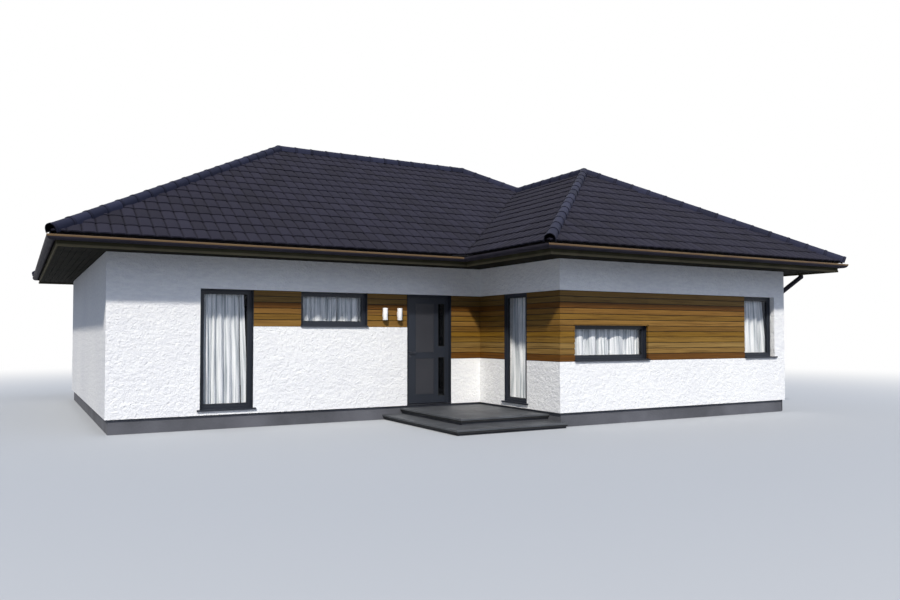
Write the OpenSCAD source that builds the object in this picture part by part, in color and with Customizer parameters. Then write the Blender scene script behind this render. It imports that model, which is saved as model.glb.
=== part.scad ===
// Single-storey house on an L-shaped plan, with a tiled hip roof over the main block and its front wing.
// Millimetres. Inside the modules x runs along the front from the left wall corner, y runs back from
// the main front wall, and z is counted from the floor. place() moves that to the part's origin.

/* [Plan] */
// Main front wall, left corner to the inner corner
main_front = 7340; // [6800:20:8000]
// Width of the front wing
wing_width = 6190; // [5800:10:6800]
// How far the wing stands forward of the main front wall
wing_projection = 2790; // [2700:10:3100]
// Depth of the main block
main_depth = 8380; // [8000:20:9000]
// Thickness of the outer walls
wall_thickness = 400; // [360:10:450]
// Foundation height, ground to floor
foundation_height = 260; // [200:10:400]
// Setback of the foundation behind the wall face
plinth_setback = 50; // [20:5:80]

/* [Levels] */
// Head of the door and of the windows above the floor
head_height = 2250; // [2200:10:2350]
// Underside of the ceiling
ceiling_height = 2500; // [2450:10:2650]
// Ceiling thickness
ceiling_thickness = 120; // [80:10:200]
// Floor finish thickness
floor_finish = 15; // [10:1:25]
// Underside of the eaves boarding
soffit_height = 2825; // [2780:5:2900]
// Foot of the deep timber band, and of the windows in it
deep_band_foot = 930; // [850:10:1000]
// Foot of the narrow timber band
narrow_band_foot = 1580; // [1450:10:1700]
// Top of the long low wing window
low_window_top = 1620; // [1500:10:1700]
// Foot of the tall windows
tall_window_foot = 100; // [80:5:200]

/* [Roof] */
// Pitch of all six slopes
roof_pitch = 29.75; // [25:0.25:35]
// Eaves depth, from the underside of the boarding to the top of the lowest tiles
eaves_depth = 205; // [195:5:260]
// Tiles beyond the wall face
tile_overhang = 870; // [840:5:900]
// Tile layer, measured upright
tile_layer = 55; // [40:5:70]
// Whole roof slab, measured upright
roof_slab = 200; // [160:10:260]
// Inner face of the eaves fascia beyond the wall face
fascia_reach = 755; // [700:5:780]
// Fascia thickness
fascia_thickness = 22; // [18:1:30]
// Fascia below the eaves boarding
fascia_drop = 20; // [10:5:40]
// Eaves boarding thickness
soffit_thickness = 20; // [15:1:30]
// Radius of the ridge and hip caps
cap_radius = 105; // [90:5:120]
// Joint between two caps that meet
cap_joint = 2; // [1:0.5:4]

/* [Rainwater] */
// Gutter outer radius
gutter_radius = 75; // [60:5:80]
// Gutter sheet thickness
gutter_sheet = 4; // [3:0.5:5]
// Gutter rim below the top of the lowest tiles
gutter_drop = 75; // [70:5:90]
// Radius of the bead along the front rim
gutter_bead = 8; // [5:1:10]
// Open joint between two lengths of gutter, fascia or eaves boarding
mitre_joint = 1; // [0.5:0.5:2]
// Downpipe radius
pipe_radius = 50; // [40:5:55]
// Collar at the downpipe's bends, beyond the pipe
pipe_collar = 4; // [2:1:8]
// Downpipe centre line in front of the wall face
pipe_standoff = 75; // [70:5:90]
// Bend where the downpipe turns down along the wall, below the eaves boarding
pipe_elbow_drop = 495; // [400:5:600]
// Pipe brackets from the downpipe's bend and from the floor
pipe_bracket_inset = 300; // [200:10:500]
// Pipe bracket thickness
pipe_bracket = 30; // [20:2:40]
// Downpipe on the right wall, from its front corner
side_pipe_inset = 190; // [150:10:300]
// Downpipes on the back wall, from its corners
back_pipe_inset = 350; // [300:10:500]

/* [Timber bands] */
// Depth of the recess that takes the boarding
band_recess = 40; // [35:5:50]
// Boarding thickness
board_thickness = 30; // [20:1:30]

/* [Windows] */
// Tall front window from the left corner
tall_window_inset = 1540; // [1400:10:1600]
// Width of the tall front window, also used on the back wall
tall_window_width = 945; // [900:5:1000]
// Strip window from the left edge of the door opening
strip_window_gap = 870; // [800:10:950]
// Strip window width
strip_window_width = 1365; // [1200:5:1450]
// Window in the wing's left wall, from the inner corner
side_window_inset = 950; // [800:10:1050]
// Width of the window in the wing's left wall
side_window_width = 785; // [700:5:850]
// Low wing window from the wing's left corner
low_window_inset = 345; // [300:5:500]
// Low wing window width
low_window_width = 1835; // [1600:5:2000]
// Right wing window from the wing's right corner
right_window_inset = 325; // [300:5:500]
// Right wing window width
right_window_width = 945; // [850:5:1000]
// Windows of the right wall from its two corners
right_wall_inset = 2300; // [2000:10:2600]
// Outer windows of the back wall from its corners
back_wall_inset = 1500; // [1300:10:1700]
// Inner windows of the back wall, each from the corner on its own side
back_inner_inset = 4300; // [4100:10:4500]
// Window frames behind the wall face
frame_recess = 110; // [80:5:150]
// Window frame depth
frame_depth = 70; // [60:5:90]
// Width of the outer frame and of the sash in it
frame_width = 42; // [35:1:55]
// Sash width
sash_width = 38; // [30:1:50]
// Sash face behind the outer frame's
sash_setback = 12; // [8:1:20]
// Glazing thickness
glass_thickness = 24; // [18:2:40]
// Sill thickness
sill_thickness = 30; // [20:5:40]
// Sill beyond the wall face
sill_nose = 40; // [30:5:50]
// Sill beyond each side of the opening
sill_ear = 50; // [30:5:60]

/* [Curtains] */
// Curtain rail radius
rail_radius = 10; // [8:1:14]
// Curtain rail behind the wall face
rail_depth = 250; // [230:5:300]
// Curtain rail centre below the window head
rail_drop = 40; // [30:5:60]
// Depth of the curtain's folds
curtain_depth = 50; // [30:5:60]
// Share of the window that the left curtain covers, seen from outside
left_curtain_share = 0.78; // [0.5:0.01:0.79]
// Share of the window that the right curtain covers
right_curtain_share = 0.2; // [0.1:0.01:0.2]
// Space between curtain and reveal, sill or rail
curtain_clearance = 0.6; // [0.3:0.1:5]

/* [Door] */
// Door opening from the inner corner
door_inset = 705; // [500:5:800]
// Door opening width
door_width = 1020; // [980:5:1060]
// Door frame width
door_frame_width = 50; // [45:1:70]
// Door frame depth
door_frame_depth = 84; // [75:1:100]
// Door leaf thickness
leaf_thickness = 68; // [55:1:75]
// Width of the stop that the leaf closes against
stop_width = 18; // [15:1:20]
// Depth of that stop
stop_depth = 10; // [8:1:15]
// Space between leaf and frame on the lock side
lock_gap = 8; // [8:0.5:12]
// Space between leaf and frame elsewhere
leaf_gap = 6; // [5:0.5:8]
// Space between leaf and threshold
foot_gap = 7; // [6:0.5:10]
// Width of the leaf's left stile
lock_stile = 195; // [150:5:220]
// Width of the leaf's panels
panel_width = 430; // [380:10:450]
// Depth of the panels
panel_depth = 8; // [5:1:15]
// Rail under the lower panel
panel_foot_rail = 180; // [150:2:250]
// Foot of the rail between the panels
panel_rail_foot = 942; // [850:2:1000]
// Width of the rail between the panels
panel_rail = 120; // [100:5:200]
// Rail above the upper panel and the upper glazed strip
top_rail = 119; // [90:1:150]
// Width of the glazed strips
strip_width = 150; // [100:5:160]
// Width of the stile between glazed strips and hinges
hinge_stile = 34; // [32:1:60]
// Rail under the lower glazed strip
strip_foot_rail = 143; // [110:1:200]
// Foot of the rail between the glazed strips
strip_rail_foot = 962; // [880:2:1040]
// Width of the rail between the glazed strips
strip_rail = 226; // [150:2:260]
// Hinge knuckle radius
knuckle_radius = 8.5; // [7:0.5:10]
// Hinge knuckle height
knuckle_height = 39; // [30:1:60]
// Space between the two knuckles of a hinge
knuckle_gap = 2; // [1:0.5:3]
// Knuckles clear of the leaf's face
knuckle_lift = 0.5; // [0.5:0.5:2]
// Hinge pin radius
pin_radius = 4.5; // [3.5:0.5:5.5]
// Hinge pin beyond its knuckles
pin_end = 2; // [1:0.5:4]
// Running gap round the hinge pin
pin_clearance = 0.1; // [0.05:0.05:0.3]
// Outer hinges from the leaf's foot and top
hinge_inset = 235; // [180:5:300]
// Hinge plate width
hinge_plate_width = 38; // [30:1:45]
// Hinge plate thickness
hinge_plate = 3; // [2:0.5:4]
// Handle height above the floor
handle_height = 1070; // [1000:10:1100]
// Handle from the leaf's lock edge
handle_inset = 60; // [45:1:80]
// Handle lever length
lever_length = 130; // [110:5:150]
// Handle lever height
lever_height = 18; // [14:1:24]
// Handle lever thickness
lever_thickness = 12; // [8:1:16]
// Handle lever clear of the leaf's face
lever_standoff = 42; // [35:1:50]
// Radius of the handle's rose
rose_radius = 26; // [22:1:28]
// Thickness of the handle's rose
rose_thickness = 8; // [5:1:10]

/* [Entrance steps] */
// Upper slab beyond the left edge of the door opening
upper_step_ear = 135; // [100:5:250]
// Upper slab in front of the main front wall
upper_step_depth = 2400; // [2000:10:2600]
// Lower tread at the left of the upper slab
side_tread = 390; // [300:10:450]
// Lower tread in front of the upper slab
front_tread = 550; // [400:10:650]
// Top of the upper slab below the floor
upper_step_drop = 45; // [30:5:60]
// Top of the lower slab below the floor
lower_step_drop = 160; // [140:5:180]
// Slab thickness
step_slab = 60; // [40:5:70]
// Slab edge beyond the masonry under it
step_nosing = 50; // [20:5:80]

/* [Wall lights] */
// Nearer light from the left edge of the door opening
light_gap = 195; // [150:5:250]
// Space between the two lights' centres
light_spacing = 320; // [260:10:400]
// Centres of the lights below the head of the door
light_drop = 408; // [300:2:500]
// Height of the lamp
light_length = 240; // [150:10:300]
// Radius of the lamp
light_radius = 50; // [35:1:60]
// Width of the lamp's bracket
light_bracket = 40; // [25:1:60]
// Space between lamp and boarding
light_standoff = 20; // [15:1:40]

/* [Hidden] */
$fn = 48;
house_width = main_front + wing_width;
wing_left = main_front;
board_face = band_recess - board_thickness;
ridge_y = main_depth / 2;
wing_ridge_x = wing_left + wing_width / 2;
saddle_y = wing_width / 2;
apex_y = wing_width / 2 - wing_projection;
tile_edge_height = soffit_height + eaves_depth;
gutter_rim_height = tile_edge_height - gutter_drop;
gutter_reach = fascia_reach + fascia_thickness + gutter_radius;
door_right = main_front - door_inset;
door_place = door_right - door_width;
leaf_back = frame_recess + door_frame_depth;
leaf_left = door_place + door_frame_width + lock_gap;
leaf_right = door_right - door_frame_width - leaf_gap;
leaf_foot = floor_finish + foot_gap;
leaf_top = head_height - door_frame_width - leaf_gap;
lower_panel = [leaf_foot + panel_foot_rail, panel_rail_foot];
upper_panel = [panel_rail_foot + panel_rail, leaf_top - top_rail];
lower_strip = [leaf_foot + strip_foot_rail, strip_rail_foot];
upper_strip = [strip_rail_foot + strip_rail, leaf_top - top_rail];
hinge_x = leaf_right + leaf_gap / 2;
hinge_y = leaf_back + knuckle_radius + knuckle_lift;
hinge_heights = [leaf_foot + hinge_inset, (leaf_foot + leaf_top) / 2, leaf_top - hinge_inset];
glass_right = leaf_right - hinge_stile;
upper_step_place = door_place - upper_step_ear;
lower_step_place = upper_step_place - side_tread;
lower_step_depth = upper_step_depth + front_tread;
far = 12000;

// Wall corners, front left first and then along the front, round to the right and back
outline = [
    [0, 0],
    [wing_left, 0],
    [wing_left, -wing_projection],
    [house_width, -wing_projection],
    [house_width, main_depth],
    [0, main_depth]
];
// Which way each corner moves when the outline grows
corner_way = [[-1, -1], [-1, -1], [-1, -1], [1, -1], [1, 1], [-1, 1]];
// Turn of each wall's own axes: x along the wall, y into the house
run_turn = [0, -90, 0, 90, 180, -90];
run_length = [
    main_front,
    wing_projection,
    wing_width,
    main_depth + wing_projection,
    house_width,
    main_depth
];
// Walls by their number in the outline
front = 0;
wing_side = 1;
wing_front = 2;
right = 3;
back = 4;
left = 5;
// Ends of the two ridges in plan
ridge_left = [ridge_y, ridge_y];
ridge_right = [house_width - ridge_y, ridge_y];
saddle = [wing_ridge_x, saddle_y];
apex = [wing_ridge_x, apex_y];

// Feet of the windows whose sills lie in a timber band, level with its foot
narrow_window_foot = narrow_band_foot + sill_thickness;
deep_window_foot = deep_band_foot + sill_thickness;
// Windows: wall, place along it, width, foot, top, and whether the sill has a left and a right ear
ears = [1, 1];
front_windows = [
    [front, tall_window_inset, tall_window_width, tall_window_foot, head_height, ears],
    [
        front,
        door_place - strip_window_gap - strip_window_width,
        strip_window_width,
        narrow_window_foot,
        head_height,
        [0, 0]
    ]
];
side_windows = [[wing_side, side_window_inset, side_window_width, tall_window_foot, head_height, ears]];
right_window_place = wing_width - right_window_inset - right_window_width;
wing_windows = [
    [wing_front, low_window_inset, low_window_width, deep_window_foot, low_window_top, [0, 0]],
    [wing_front, right_window_place, right_window_width, deep_window_foot, head_height, [0, 1]]
];
right_windows = [
    for (place = [right_wall_inset, run_length[right] - right_wall_inset - right_window_width])
        [right, place, right_window_width, deep_window_foot, head_height, ears]
];
back_windows = [
    [back, back_wall_inset, tall_window_width, tall_window_foot, head_height, ears],
    [back, back_inner_inset, low_window_width, deep_window_foot, head_height, ears],
    [
        back,
        house_width - back_inner_inset - tall_window_width,
        tall_window_width,
        tall_window_foot,
        head_height,
        ears
    ],
    [
        back,
        house_width - back_wall_inset - strip_window_width,
        strip_window_width,
        narrow_window_foot,
        head_height,
        ears
    ]
];
seen_windows = concat(front_windows, side_windows, wing_windows);
windows = concat(seen_windows, right_windows, back_windows);

// Timber bands: wall, start, end, foot
left_band = [front, tall_window_inset + tall_window_width, door_place, narrow_band_foot];
right_band = [front, door_right, wing_left + board_face, deep_band_foot];
side_band = [wing_side, -band_recess, wing_projection - band_recess, deep_band_foot];
wing_band = [wing_front, board_face, right_window_place, deep_band_foot];
// The wing's recess starts at the very corner, its boarding where the side boarding's face is
wing_recess = [wing_front, 0, right_window_place, deep_band_foot];

// A corner of the outline moved out by a distance
function corner(i, out) = outline[i % 6] + out * corner_way[i % 6];
// Top of the tiles at a distance inside the wall face
function tile_height(inset) = tile_edge_height + (inset + tile_overhang) * tan(roof_pitch);
// A point of the plan lifted to the top of the tiles
function on_tiles(point, inset) = [point[0], point[1], tile_height(inset)];

// House axes to the part's origin: middle of the whole, on the ground
module place() {
    translate([-house_width / 2, (wing_projection - main_depth) / 2, foundation_height])
        children();
}

// Own axes of one wall
module on_wall(i) {
    translate([outline[i][0], outline[i][1], 0])
        rotate([0, 0, run_turn[i]])
            children();
}

// A profile, drawn as distance inside the wall face and height, run along one wall
module along_wall(i) {
    on_wall(i)
        translate([-far, 0, 0])
            rotate([90, 0, 90])
                linear_extrude(run_length[i] + 2 * far)
                    children();
}

// Plan of one length of eaves between two distances from the wall face, mitred at its ends
module eaves_plan(i, near_out, far_out) {
    way = (outline[(i + 1) % 6] - outline[i]) / run_length[i] * mitre_joint / 2;
    translate([0, 0, -far])
        linear_extrude(3 * far)
            polygon([
                corner(i, near_out) + way,
                corner(i, far_out) + way,
                corner(i + 1, far_out) - way,
                corner(i + 1, near_out) - way
            ]);
}

// Everything below one wall's slope, or below a plane at a depth under it
module under_slope(i, depth) {
    along_wall(i)
        translate([-tile_overhang, tile_edge_height - depth])
            rotate(roof_pitch)
                translate([-far, -2 * far])
                    square([4 * far, 2 * far]);
}

// Everything below the whole roof, or below a depth under it
module under_roof(depth) {
    intersection() {
        under_slope(front, depth);
        under_slope(back, depth);
        under_slope(left, depth);
        under_slope(right, depth);
    }
    intersection() {
        under_slope(wing_side, depth);
        under_slope(wing_front, depth);
        under_slope(right, depth);
        translate([0, -far, -far])
            cube([2 * far, far + ridge_y, 2 * far]);
    }
}

// One slope: structure as far as the fascia, and the tile layer out over the gutter
module roof_slope(i, plan) {
    intersection() {
        difference() {
            under_slope(i, 0);
            under_slope(i, roof_slab);
            intersection() {
                under_slope(i, tile_layer);
                along_wall(i)
                    translate([-far, -far])
                        square([far - fascia_reach, 2 * far]);
            }
        }
        linear_extrude(far)
            polygon(plan);
    }
}

// A round bar between two points
module bar(start, end, radius) {
    way = end - start;
    reach = norm(way);
    translate(start)
        rotate([0, acos(way[2] / reach), atan2(way[1], way[0])])
            cylinder(h = reach, r = radius);
}

// One straight outer wall with its windows and boarding recesses cut out, up to the roof's underside
module wall(i, start, end, cuts = [], bands = [], foot = 0) {
    intersection() {
        difference() {
            on_wall(i)
                translate([start, 0, foot])
                    cube([end - start, wall_thickness, far - foot]);
            for (cut = cuts)
                window_cut(cut);
            for (band = bands)
                band_cut(band);
        }
        under_roof(roof_slab);
    }
}

module window_cut(window) {
    on_wall(window[0]) {
        translate([window[1], -far / 2, window[3]])
            cube([window[2], far, window[4] - window[3]]);
        translate([window[1], -far / 2, window[3] - sill_thickness])
            cube([window[2], far / 2 + frame_recess + frame_depth, sill_thickness + 1]);
    }
}

module band_cut(band) {
    on_wall(band[0])
        translate([band[1], -band_recess, band[3]])
            cube([band[2] - band[1], 2 * band_recess, head_height - band[3]]);
}

// Boarding that lies in its recess, a little behind the wall face
module boarding(band, cuts = []) {
    difference() {
        on_wall(band[0])
            translate([band[1], board_face, band[3]])
                cube([band[2] - band[1], board_thickness, head_height - band[3]]);
        for (cut = cuts)
            window_cut(cut);
    }
}

module foundation_main() {
    color("#5a5a63")
        place()
            translate([plinth_setback, plinth_setback, -foundation_height])
                cube([
                    house_width - 2 * plinth_setback,
                    main_depth - 2 * plinth_setback,
                    foundation_height
                ]);
}

module foundation_wing() {
    color("#5a5a63")
        place()
            translate([wing_left + plinth_setback, plinth_setback - wing_projection, -foundation_height])
                cube([wing_width - 2 * plinth_setback, wing_projection, foundation_height]);
}

// A slab between the inner wall faces of the main block
module main_slab(level, thickness) {
    translate([wall_thickness, wall_thickness, level])
        cube([house_width - 2 * wall_thickness, main_depth - 2 * wall_thickness, thickness]);
}

// A slab between the inner wall faces of the wing
module wing_slab(level, thickness) {
    translate([wing_left + wall_thickness, wall_thickness - wing_projection, level])
        cube([wing_width - 2 * wall_thickness, wing_projection, thickness]);
}

module floor_main() {
    color("#b08d62")
        place()
            main_slab(0, floor_finish);
}

module floor_wing() {
    color("#b08d62")
        place()
            wing_slab(0, floor_finish);
}

module ceiling_main() {
    color("#f4f4f2")
        place()
            main_slab(ceiling_height, ceiling_thickness);
}

module ceiling_wing() {
    color("#f4f4f2")
        place()
            wing_slab(ceiling_height, ceiling_thickness);
}

module front_wall_left() {
    color("#f2f2f0")
        place()
            wall(front, 0, door_place, front_windows, [left_band]);
}

module front_wall_over_door() {
    color("#f2f2f0")
        place()
            wall(front, door_place, door_right, foot = head_height);
}

module front_wall_right() {
    color("#f2f2f0")
        place()
            wall(front, door_right, wing_left + wall_thickness, bands = [right_band, side_band]);
}

module wing_side_wall() {
    color("#f2f2f0")
        place()
            wall(wing_side, 0, wing_projection - wall_thickness, side_windows, [side_band]);
}

module wing_front_wall() {
    color("#f2f2f0")
        place()
            wall(wing_front, 0, wing_width, wing_windows, [side_band, wing_recess]);
}

module right_wall() {
    color("#f2f2f0")
        place()
            wall(right, wall_thickness, run_length[right] - wall_thickness, right_windows);
}

module back_wall() {
    color("#f2f2f0")
        place()
            wall(back, 0, house_width, back_windows);
}

module left_wall() {
    color("#f2f2f0")
        place()
            wall(left, wall_thickness, main_depth - wall_thickness);
}

module roof_front() {
    color("#2b2a33")
        place()
            roof_slope(front, [
                corner(0, tile_overhang), corner(1, tile_overhang), saddle, ridge_right, ridge_left
            ]);
}

module roof_wing_side() {
    color("#2b2a33")
        place()
            roof_slope(wing_side, [corner(1, tile_overhang), corner(2, tile_overhang), apex, saddle]);
}

module roof_wing_front() {
    color("#2b2a33")
        place()
            roof_slope(wing_front, [corner(2, tile_overhang), corner(3, tile_overhang), apex]);
}

module roof_right() {
    color("#2b2a33")
        place()
            roof_slope(right, [
                corner(3, tile_overhang), corner(4, tile_overhang), ridge_right, saddle, apex
            ]);
}

module roof_back() {
    color("#2b2a33")
        place()
            roof_slope(back, [corner(4, tile_overhang), corner(5, tile_overhang), ridge_left, ridge_right]);
}

module roof_left() {
    color("#2b2a33")
        place()
            roof_slope(left, [corner(5, tile_overhang), corner(0, tile_overhang), ridge_left]);
}

// Caps over the level ridges, main first
module ridge_bars(radius) {
    bar(on_tiles(ridge_left, ridge_y), on_tiles(ridge_right, ridge_y), radius);
    bar(on_tiles(saddle, saddle_y), on_tiles(apex, saddle_y), radius);
}

module ridge_caps() {
    color("#34333d")
        place()
            difference() {
                ridge_bars(cap_radius);
                under_roof(0);
            }
}

// The half of space on one side of a plan point, less half a cap joint
module side_of(point, way) {
    translate([point[0], point[1], 0])
        rotate([0, 0, atan2(way[1], way[0])])
            translate([cap_joint / 2, -far, 0])
                cube([far, 2 * far, far]);
}

module hip_caps() {
    edge = tile_overhang;
    // Foot, top, height of the top inside the eaves, side of the top that the cap lies on
    hips = [
        [corner(0, edge), ridge_left, ridge_y, [0, -1]],
        [corner(2, edge), apex, saddle_y, [-1, 0]],
        [corner(3, edge), apex, saddle_y, [1, 0]],
        [corner(4, edge), ridge_right, ridge_y, [0, 1]],
        [corner(5, edge), ridge_left, ridge_y, [0, 1]]
    ];
    color("#34333d")
        place() {
            for (hip = hips)
                intersection() {
                    difference() {
                        bar(on_tiles(hip[0], -edge), on_tiles(hip[1], hip[2]), cap_radius);
                        under_roof(0);
                        ridge_bars(cap_radius + cap_joint);
                    }
                    side_of(hip[1], hip[3]);
                }
            intersection() {
                difference() {
                    bar(on_tiles(ridge_right, ridge_y), on_tiles(saddle, saddle_y), cap_radius);
                    under_roof(0);
                    ridge_bars(cap_radius + cap_joint);
                }
                side_of(ridge_right, [0, -1]);
            }
        }
}

module fascia_boards() {
    foot = soffit_height - fascia_drop;
    top = tile_height(-fascia_reach - fascia_thickness) - tile_layer;
    color("#4a3a2c")
        place()
            for (i = [0:5])
                intersection() {
                    along_wall(i)
                        translate([-fascia_reach - fascia_thickness, foot])
                            square([fascia_thickness, top - foot]);
                    eaves_plan(i, fascia_reach, fascia_reach + fascia_thickness);
                }
}

module soffit_boards() {
    color("#3a3a34")
        place()
            for (i = [0:5])
                intersection() {
                    along_wall(i)
                        translate([-fascia_reach, soffit_height])
                            square([fascia_reach, soffit_thickness]);
                    eaves_plan(i, 0, fascia_reach);
                }
}

// Half-round gutter with a bead on its front rim and a sheet up the fascia
module gutter_profile() {
    tiles_foot = tile_height(-fascia_reach - fascia_thickness) - tile_layer;
    translate([-gutter_reach, gutter_rim_height]) {
        difference() {
            circle(r = gutter_radius);
            circle(r = gutter_radius - gutter_sheet);
            translate([-gutter_radius, 0])
                square([2 * gutter_radius, gutter_radius]);
        }
        translate([gutter_bead - gutter_radius, 0])
            circle(r = gutter_bead);
        translate([gutter_radius - gutter_sheet, -gutter_sheet])
            square([gutter_sheet, tiles_foot - gutter_rim_height]);
    }
}

module gutters() {
    color("#3a3533")
        place()
            for (i = [0:5])
                intersection() {
                    along_wall(i)
                        gutter_profile();
                    eaves_plan(i, fascia_reach + fascia_thickness, gutter_reach + gutter_radius);
                }
}

// Downpipe from the gutter back to the wall and down to the ground, with two wall brackets
module downpipe(i, s) {
    spout = [s, -gutter_reach, gutter_rim_height];
    knee = [s, -gutter_reach, soffit_height - fascia_drop - pipe_radius];
    elbow = [s, -pipe_standoff, soffit_height - pipe_elbow_drop];
    foot = [s, -pipe_standoff, -foundation_height];
    on_wall(i) {
        difference() {
            union() {
                bar(spout, knee, pipe_radius);
                bar(knee, elbow, pipe_radius);
                bar(elbow, foot, pipe_radius);
                for (bend = [knee, elbow])
                    translate(bend)
                        sphere(r = pipe_radius + pipe_collar);
                for (z = [pipe_bracket_inset, elbow[2] - pipe_bracket_inset])
                    translate([s - pipe_bracket / 2, -pipe_standoff, z])
                        cube([pipe_bracket, pipe_standoff, pipe_bracket]);
            }
            translate([s - 2 * pipe_radius, -gutter_reach, gutter_rim_height])
                rotate([0, 90, 0])
                    cylinder(h = 4 * pipe_radius, r = gutter_radius);
        }
    }
}

module downpipes() {
    color("#3a3533")
        place() {
            downpipe(right, side_pipe_inset);
            downpipe(back, back_pipe_inset);
            downpipe(back, house_width - back_pipe_inset);
        }
}

module front_boarding() {
    color("#8a5f2b")
        place() {
            boarding(left_band, front_windows);
            boarding(right_band);
        }
}

module wing_side_boarding() {
    color("#8a5f2b")
        place()
            boarding(side_band, side_windows);
}

module wing_front_boarding() {
    color("#8a5f2b")
        place()
            boarding(wing_band, wing_windows);
}

// A block that fills a window's opening less a border, from a depth behind the wall face
module window_block(window, border, depth, thickness) {
    on_wall(window[0])
        translate([window[1] + border, depth, window[3] + border])
            cube([window[2] - 2 * border, thickness, window[4] - window[3] - 2 * border]);
}

// Outer frame with the sash a step behind it
module window_frames() {
    sash_face = frame_recess + sash_setback;
    color("#2e3340")
        place()
            for (window = windows)
                difference() {
                    window_block(window, 0, frame_recess, frame_depth);
                    window_block(window, frame_width, frame_recess - 1, sash_setback + 1);
                    window_block(window, frame_width + sash_width, sash_face - 1, frame_depth);
                }
}

module window_glass() {
    sash_face = frame_recess + sash_setback;
    sash_depth = frame_depth - sash_setback;
    color("#9fb4c4", 0.4)
        place()
            for (window = windows)
                window_block(
                    window,
                    frame_width + sash_width,
                    sash_face + (sash_depth - glass_thickness) / 2,
                    glass_thickness
                );
}

module window_sills() {
    color("#4a4d52")
        place()
            for (w = windows)
                on_wall(w[0]) {
                    translate([w[1], 0, w[3] - sill_thickness])
                        cube([w[2], frame_recess + frame_depth, sill_thickness]);
                    translate([w[1] - w[5][0] * sill_ear, -sill_nose, w[3] - sill_thickness])
                        cube([w[2] + (w[5][0] + w[5][1]) * sill_ear, sill_nose, sill_thickness]);
                }
}

module curtain_rails() {
    color("#d8d8d4")
        place()
            for (w = seen_windows)
                on_wall(w[0])
                    translate([w[1], rail_depth, w[4] - rail_drop])
                        rotate([0, 90, 0])
                            cylinder(h = w[2], r = rail_radius);
}

// Two curtains a window, a wide one at the left and a narrow one at the right
module curtains() {
    color("#efece6")
        place()
            for (w = seen_windows) {
                left_width = w[2] * left_curtain_share;
                right_width = w[2] * right_curtain_share;
                right_start = w[1] + w[2] - right_width - curtain_clearance;
                foot = w[3] + curtain_clearance;
                top = w[4] - rail_drop - rail_radius - curtain_clearance;
                for (part = [[w[1] + curtain_clearance, left_width], [right_start, right_width]])
                    on_wall(w[0])
                        translate([part[0], rail_depth - curtain_depth / 2, foot])
                            cube([part[1], curtain_depth, top - foot]);
            }
}

// A hinge knuckle with its plate, from a height up; side is -1 towards the door and 1 towards the frame
module hinge_half(z, side) {
    edge = hinge_x + side * leaf_gap / 2;
    translate([hinge_x, hinge_y, z])
        cylinder(h = knuckle_height, r = knuckle_radius);
    translate([side < 0 ? edge - hinge_plate_width : edge, leaf_back, z])
        cube([hinge_plate_width, hinge_plate, knuckle_height]);
}

// Hinge pins, which hang from the frame's knuckles through the door's
module hinge_pins(radius) {
    reach = knuckle_height + knuckle_gap / 2;
    for (z = hinge_heights)
        translate([hinge_x, hinge_y, z - reach - pin_end])
            cylinder(h = reach + pin_end + knuckle_gap, r = radius);
}

module door_frame() {
    opening_width = door_width - 2 * door_frame_width;
    opening_top = head_height - door_frame_width;
    color("#2e3340")
        place() {
            translate([door_place, frame_recess, floor_finish])
                difference() {
                    cube([door_width, door_frame_depth, head_height - floor_finish]);
                    translate([door_frame_width, stop_depth, -1])
                        cube([opening_width, door_frame_depth, opening_top - floor_finish + 1]);
                    translate([door_frame_width + stop_width, -1, -1])
                        cube([
                            opening_width - 2 * stop_width,
                            door_frame_depth,
                            opening_top - floor_finish + 1 - stop_width
                        ]);
                }
            for (z = hinge_heights)
                hinge_half(z + knuckle_gap / 2, 1);
            hinge_pins(pin_radius);
        }
}

module door_threshold() {
    color("#5a5a63")
        place()
            translate([door_place, 0, 0])
                cube([door_width, wall_thickness, floor_finish]);
}

// Cut through the leaf for one glazed strip
module strip_cut(heights, depth, thickness) {
    translate([glass_right - strip_width, depth, heights[0]])
        cube([strip_width, thickness, heights[1] - heights[0]]);
}

module door_leaf() {
    leaf_front = leaf_back - leaf_thickness;
    panel_left = leaf_left + lock_stile;
    color("#2e3340")
        place() {
            difference() {
                translate([leaf_left, leaf_front, leaf_foot])
                    cube([leaf_right - leaf_left, leaf_thickness, leaf_top - leaf_foot]);
                for (heights = [lower_panel, upper_panel])
                    for (y = [leaf_front - panel_depth, leaf_back - panel_depth])
                        translate([panel_left, y, heights[0]])
                            cube([panel_width, 2 * panel_depth, heights[1] - heights[0]]);
                for (heights = [lower_strip, upper_strip])
                    strip_cut(heights, leaf_front - 1, leaf_thickness + 2);
            }
            difference() {
                for (z = hinge_heights)
                    hinge_half(z - knuckle_gap / 2 - knuckle_height, -1);
                hinge_pins(pin_radius + pin_clearance);
            }
        }
}

module door_glass() {
    color("#15171c", 0.6)
        place()
            for (heights = [lower_strip, upper_strip])
                strip_cut(heights, leaf_back - (leaf_thickness + glass_thickness) / 2, glass_thickness);
}

// A plain lever with a round rose on each face of the leaf
module door_handle() {
    faces = [leaf_back - leaf_thickness, leaf_back];
    lever_starts = [faces[0] - lever_standoff - lever_thickness, faces[1] + lever_standoff];
    color("#3c3e44")
        place()
            translate([leaf_left + handle_inset, 0, handle_height])
                for (side = [0, 1]) {
                    translate([0, faces[side], 0])
                        rotate([side == 0 ? 90 : -90, 0, 0]) {
                            cylinder(h = rose_thickness, r = rose_radius);
                            cylinder(h = lever_standoff + lever_thickness / 2, r = lever_height / 2);
                        }
                    translate([-lever_height / 2, lever_starts[side], -lever_height / 2])
                        cube([lever_length, lever_thickness, lever_height]);
                }
}

// A step slab in the inner corner, up to the foundation's faces
module step_slab_at(start, depth, drop, thickness, inset) {
    translate([start + inset, inset - depth, -drop - thickness])
        cube([
            wing_left + plinth_setback - start - inset,
            depth + plinth_setback - inset,
            thickness
        ]);
}

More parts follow.
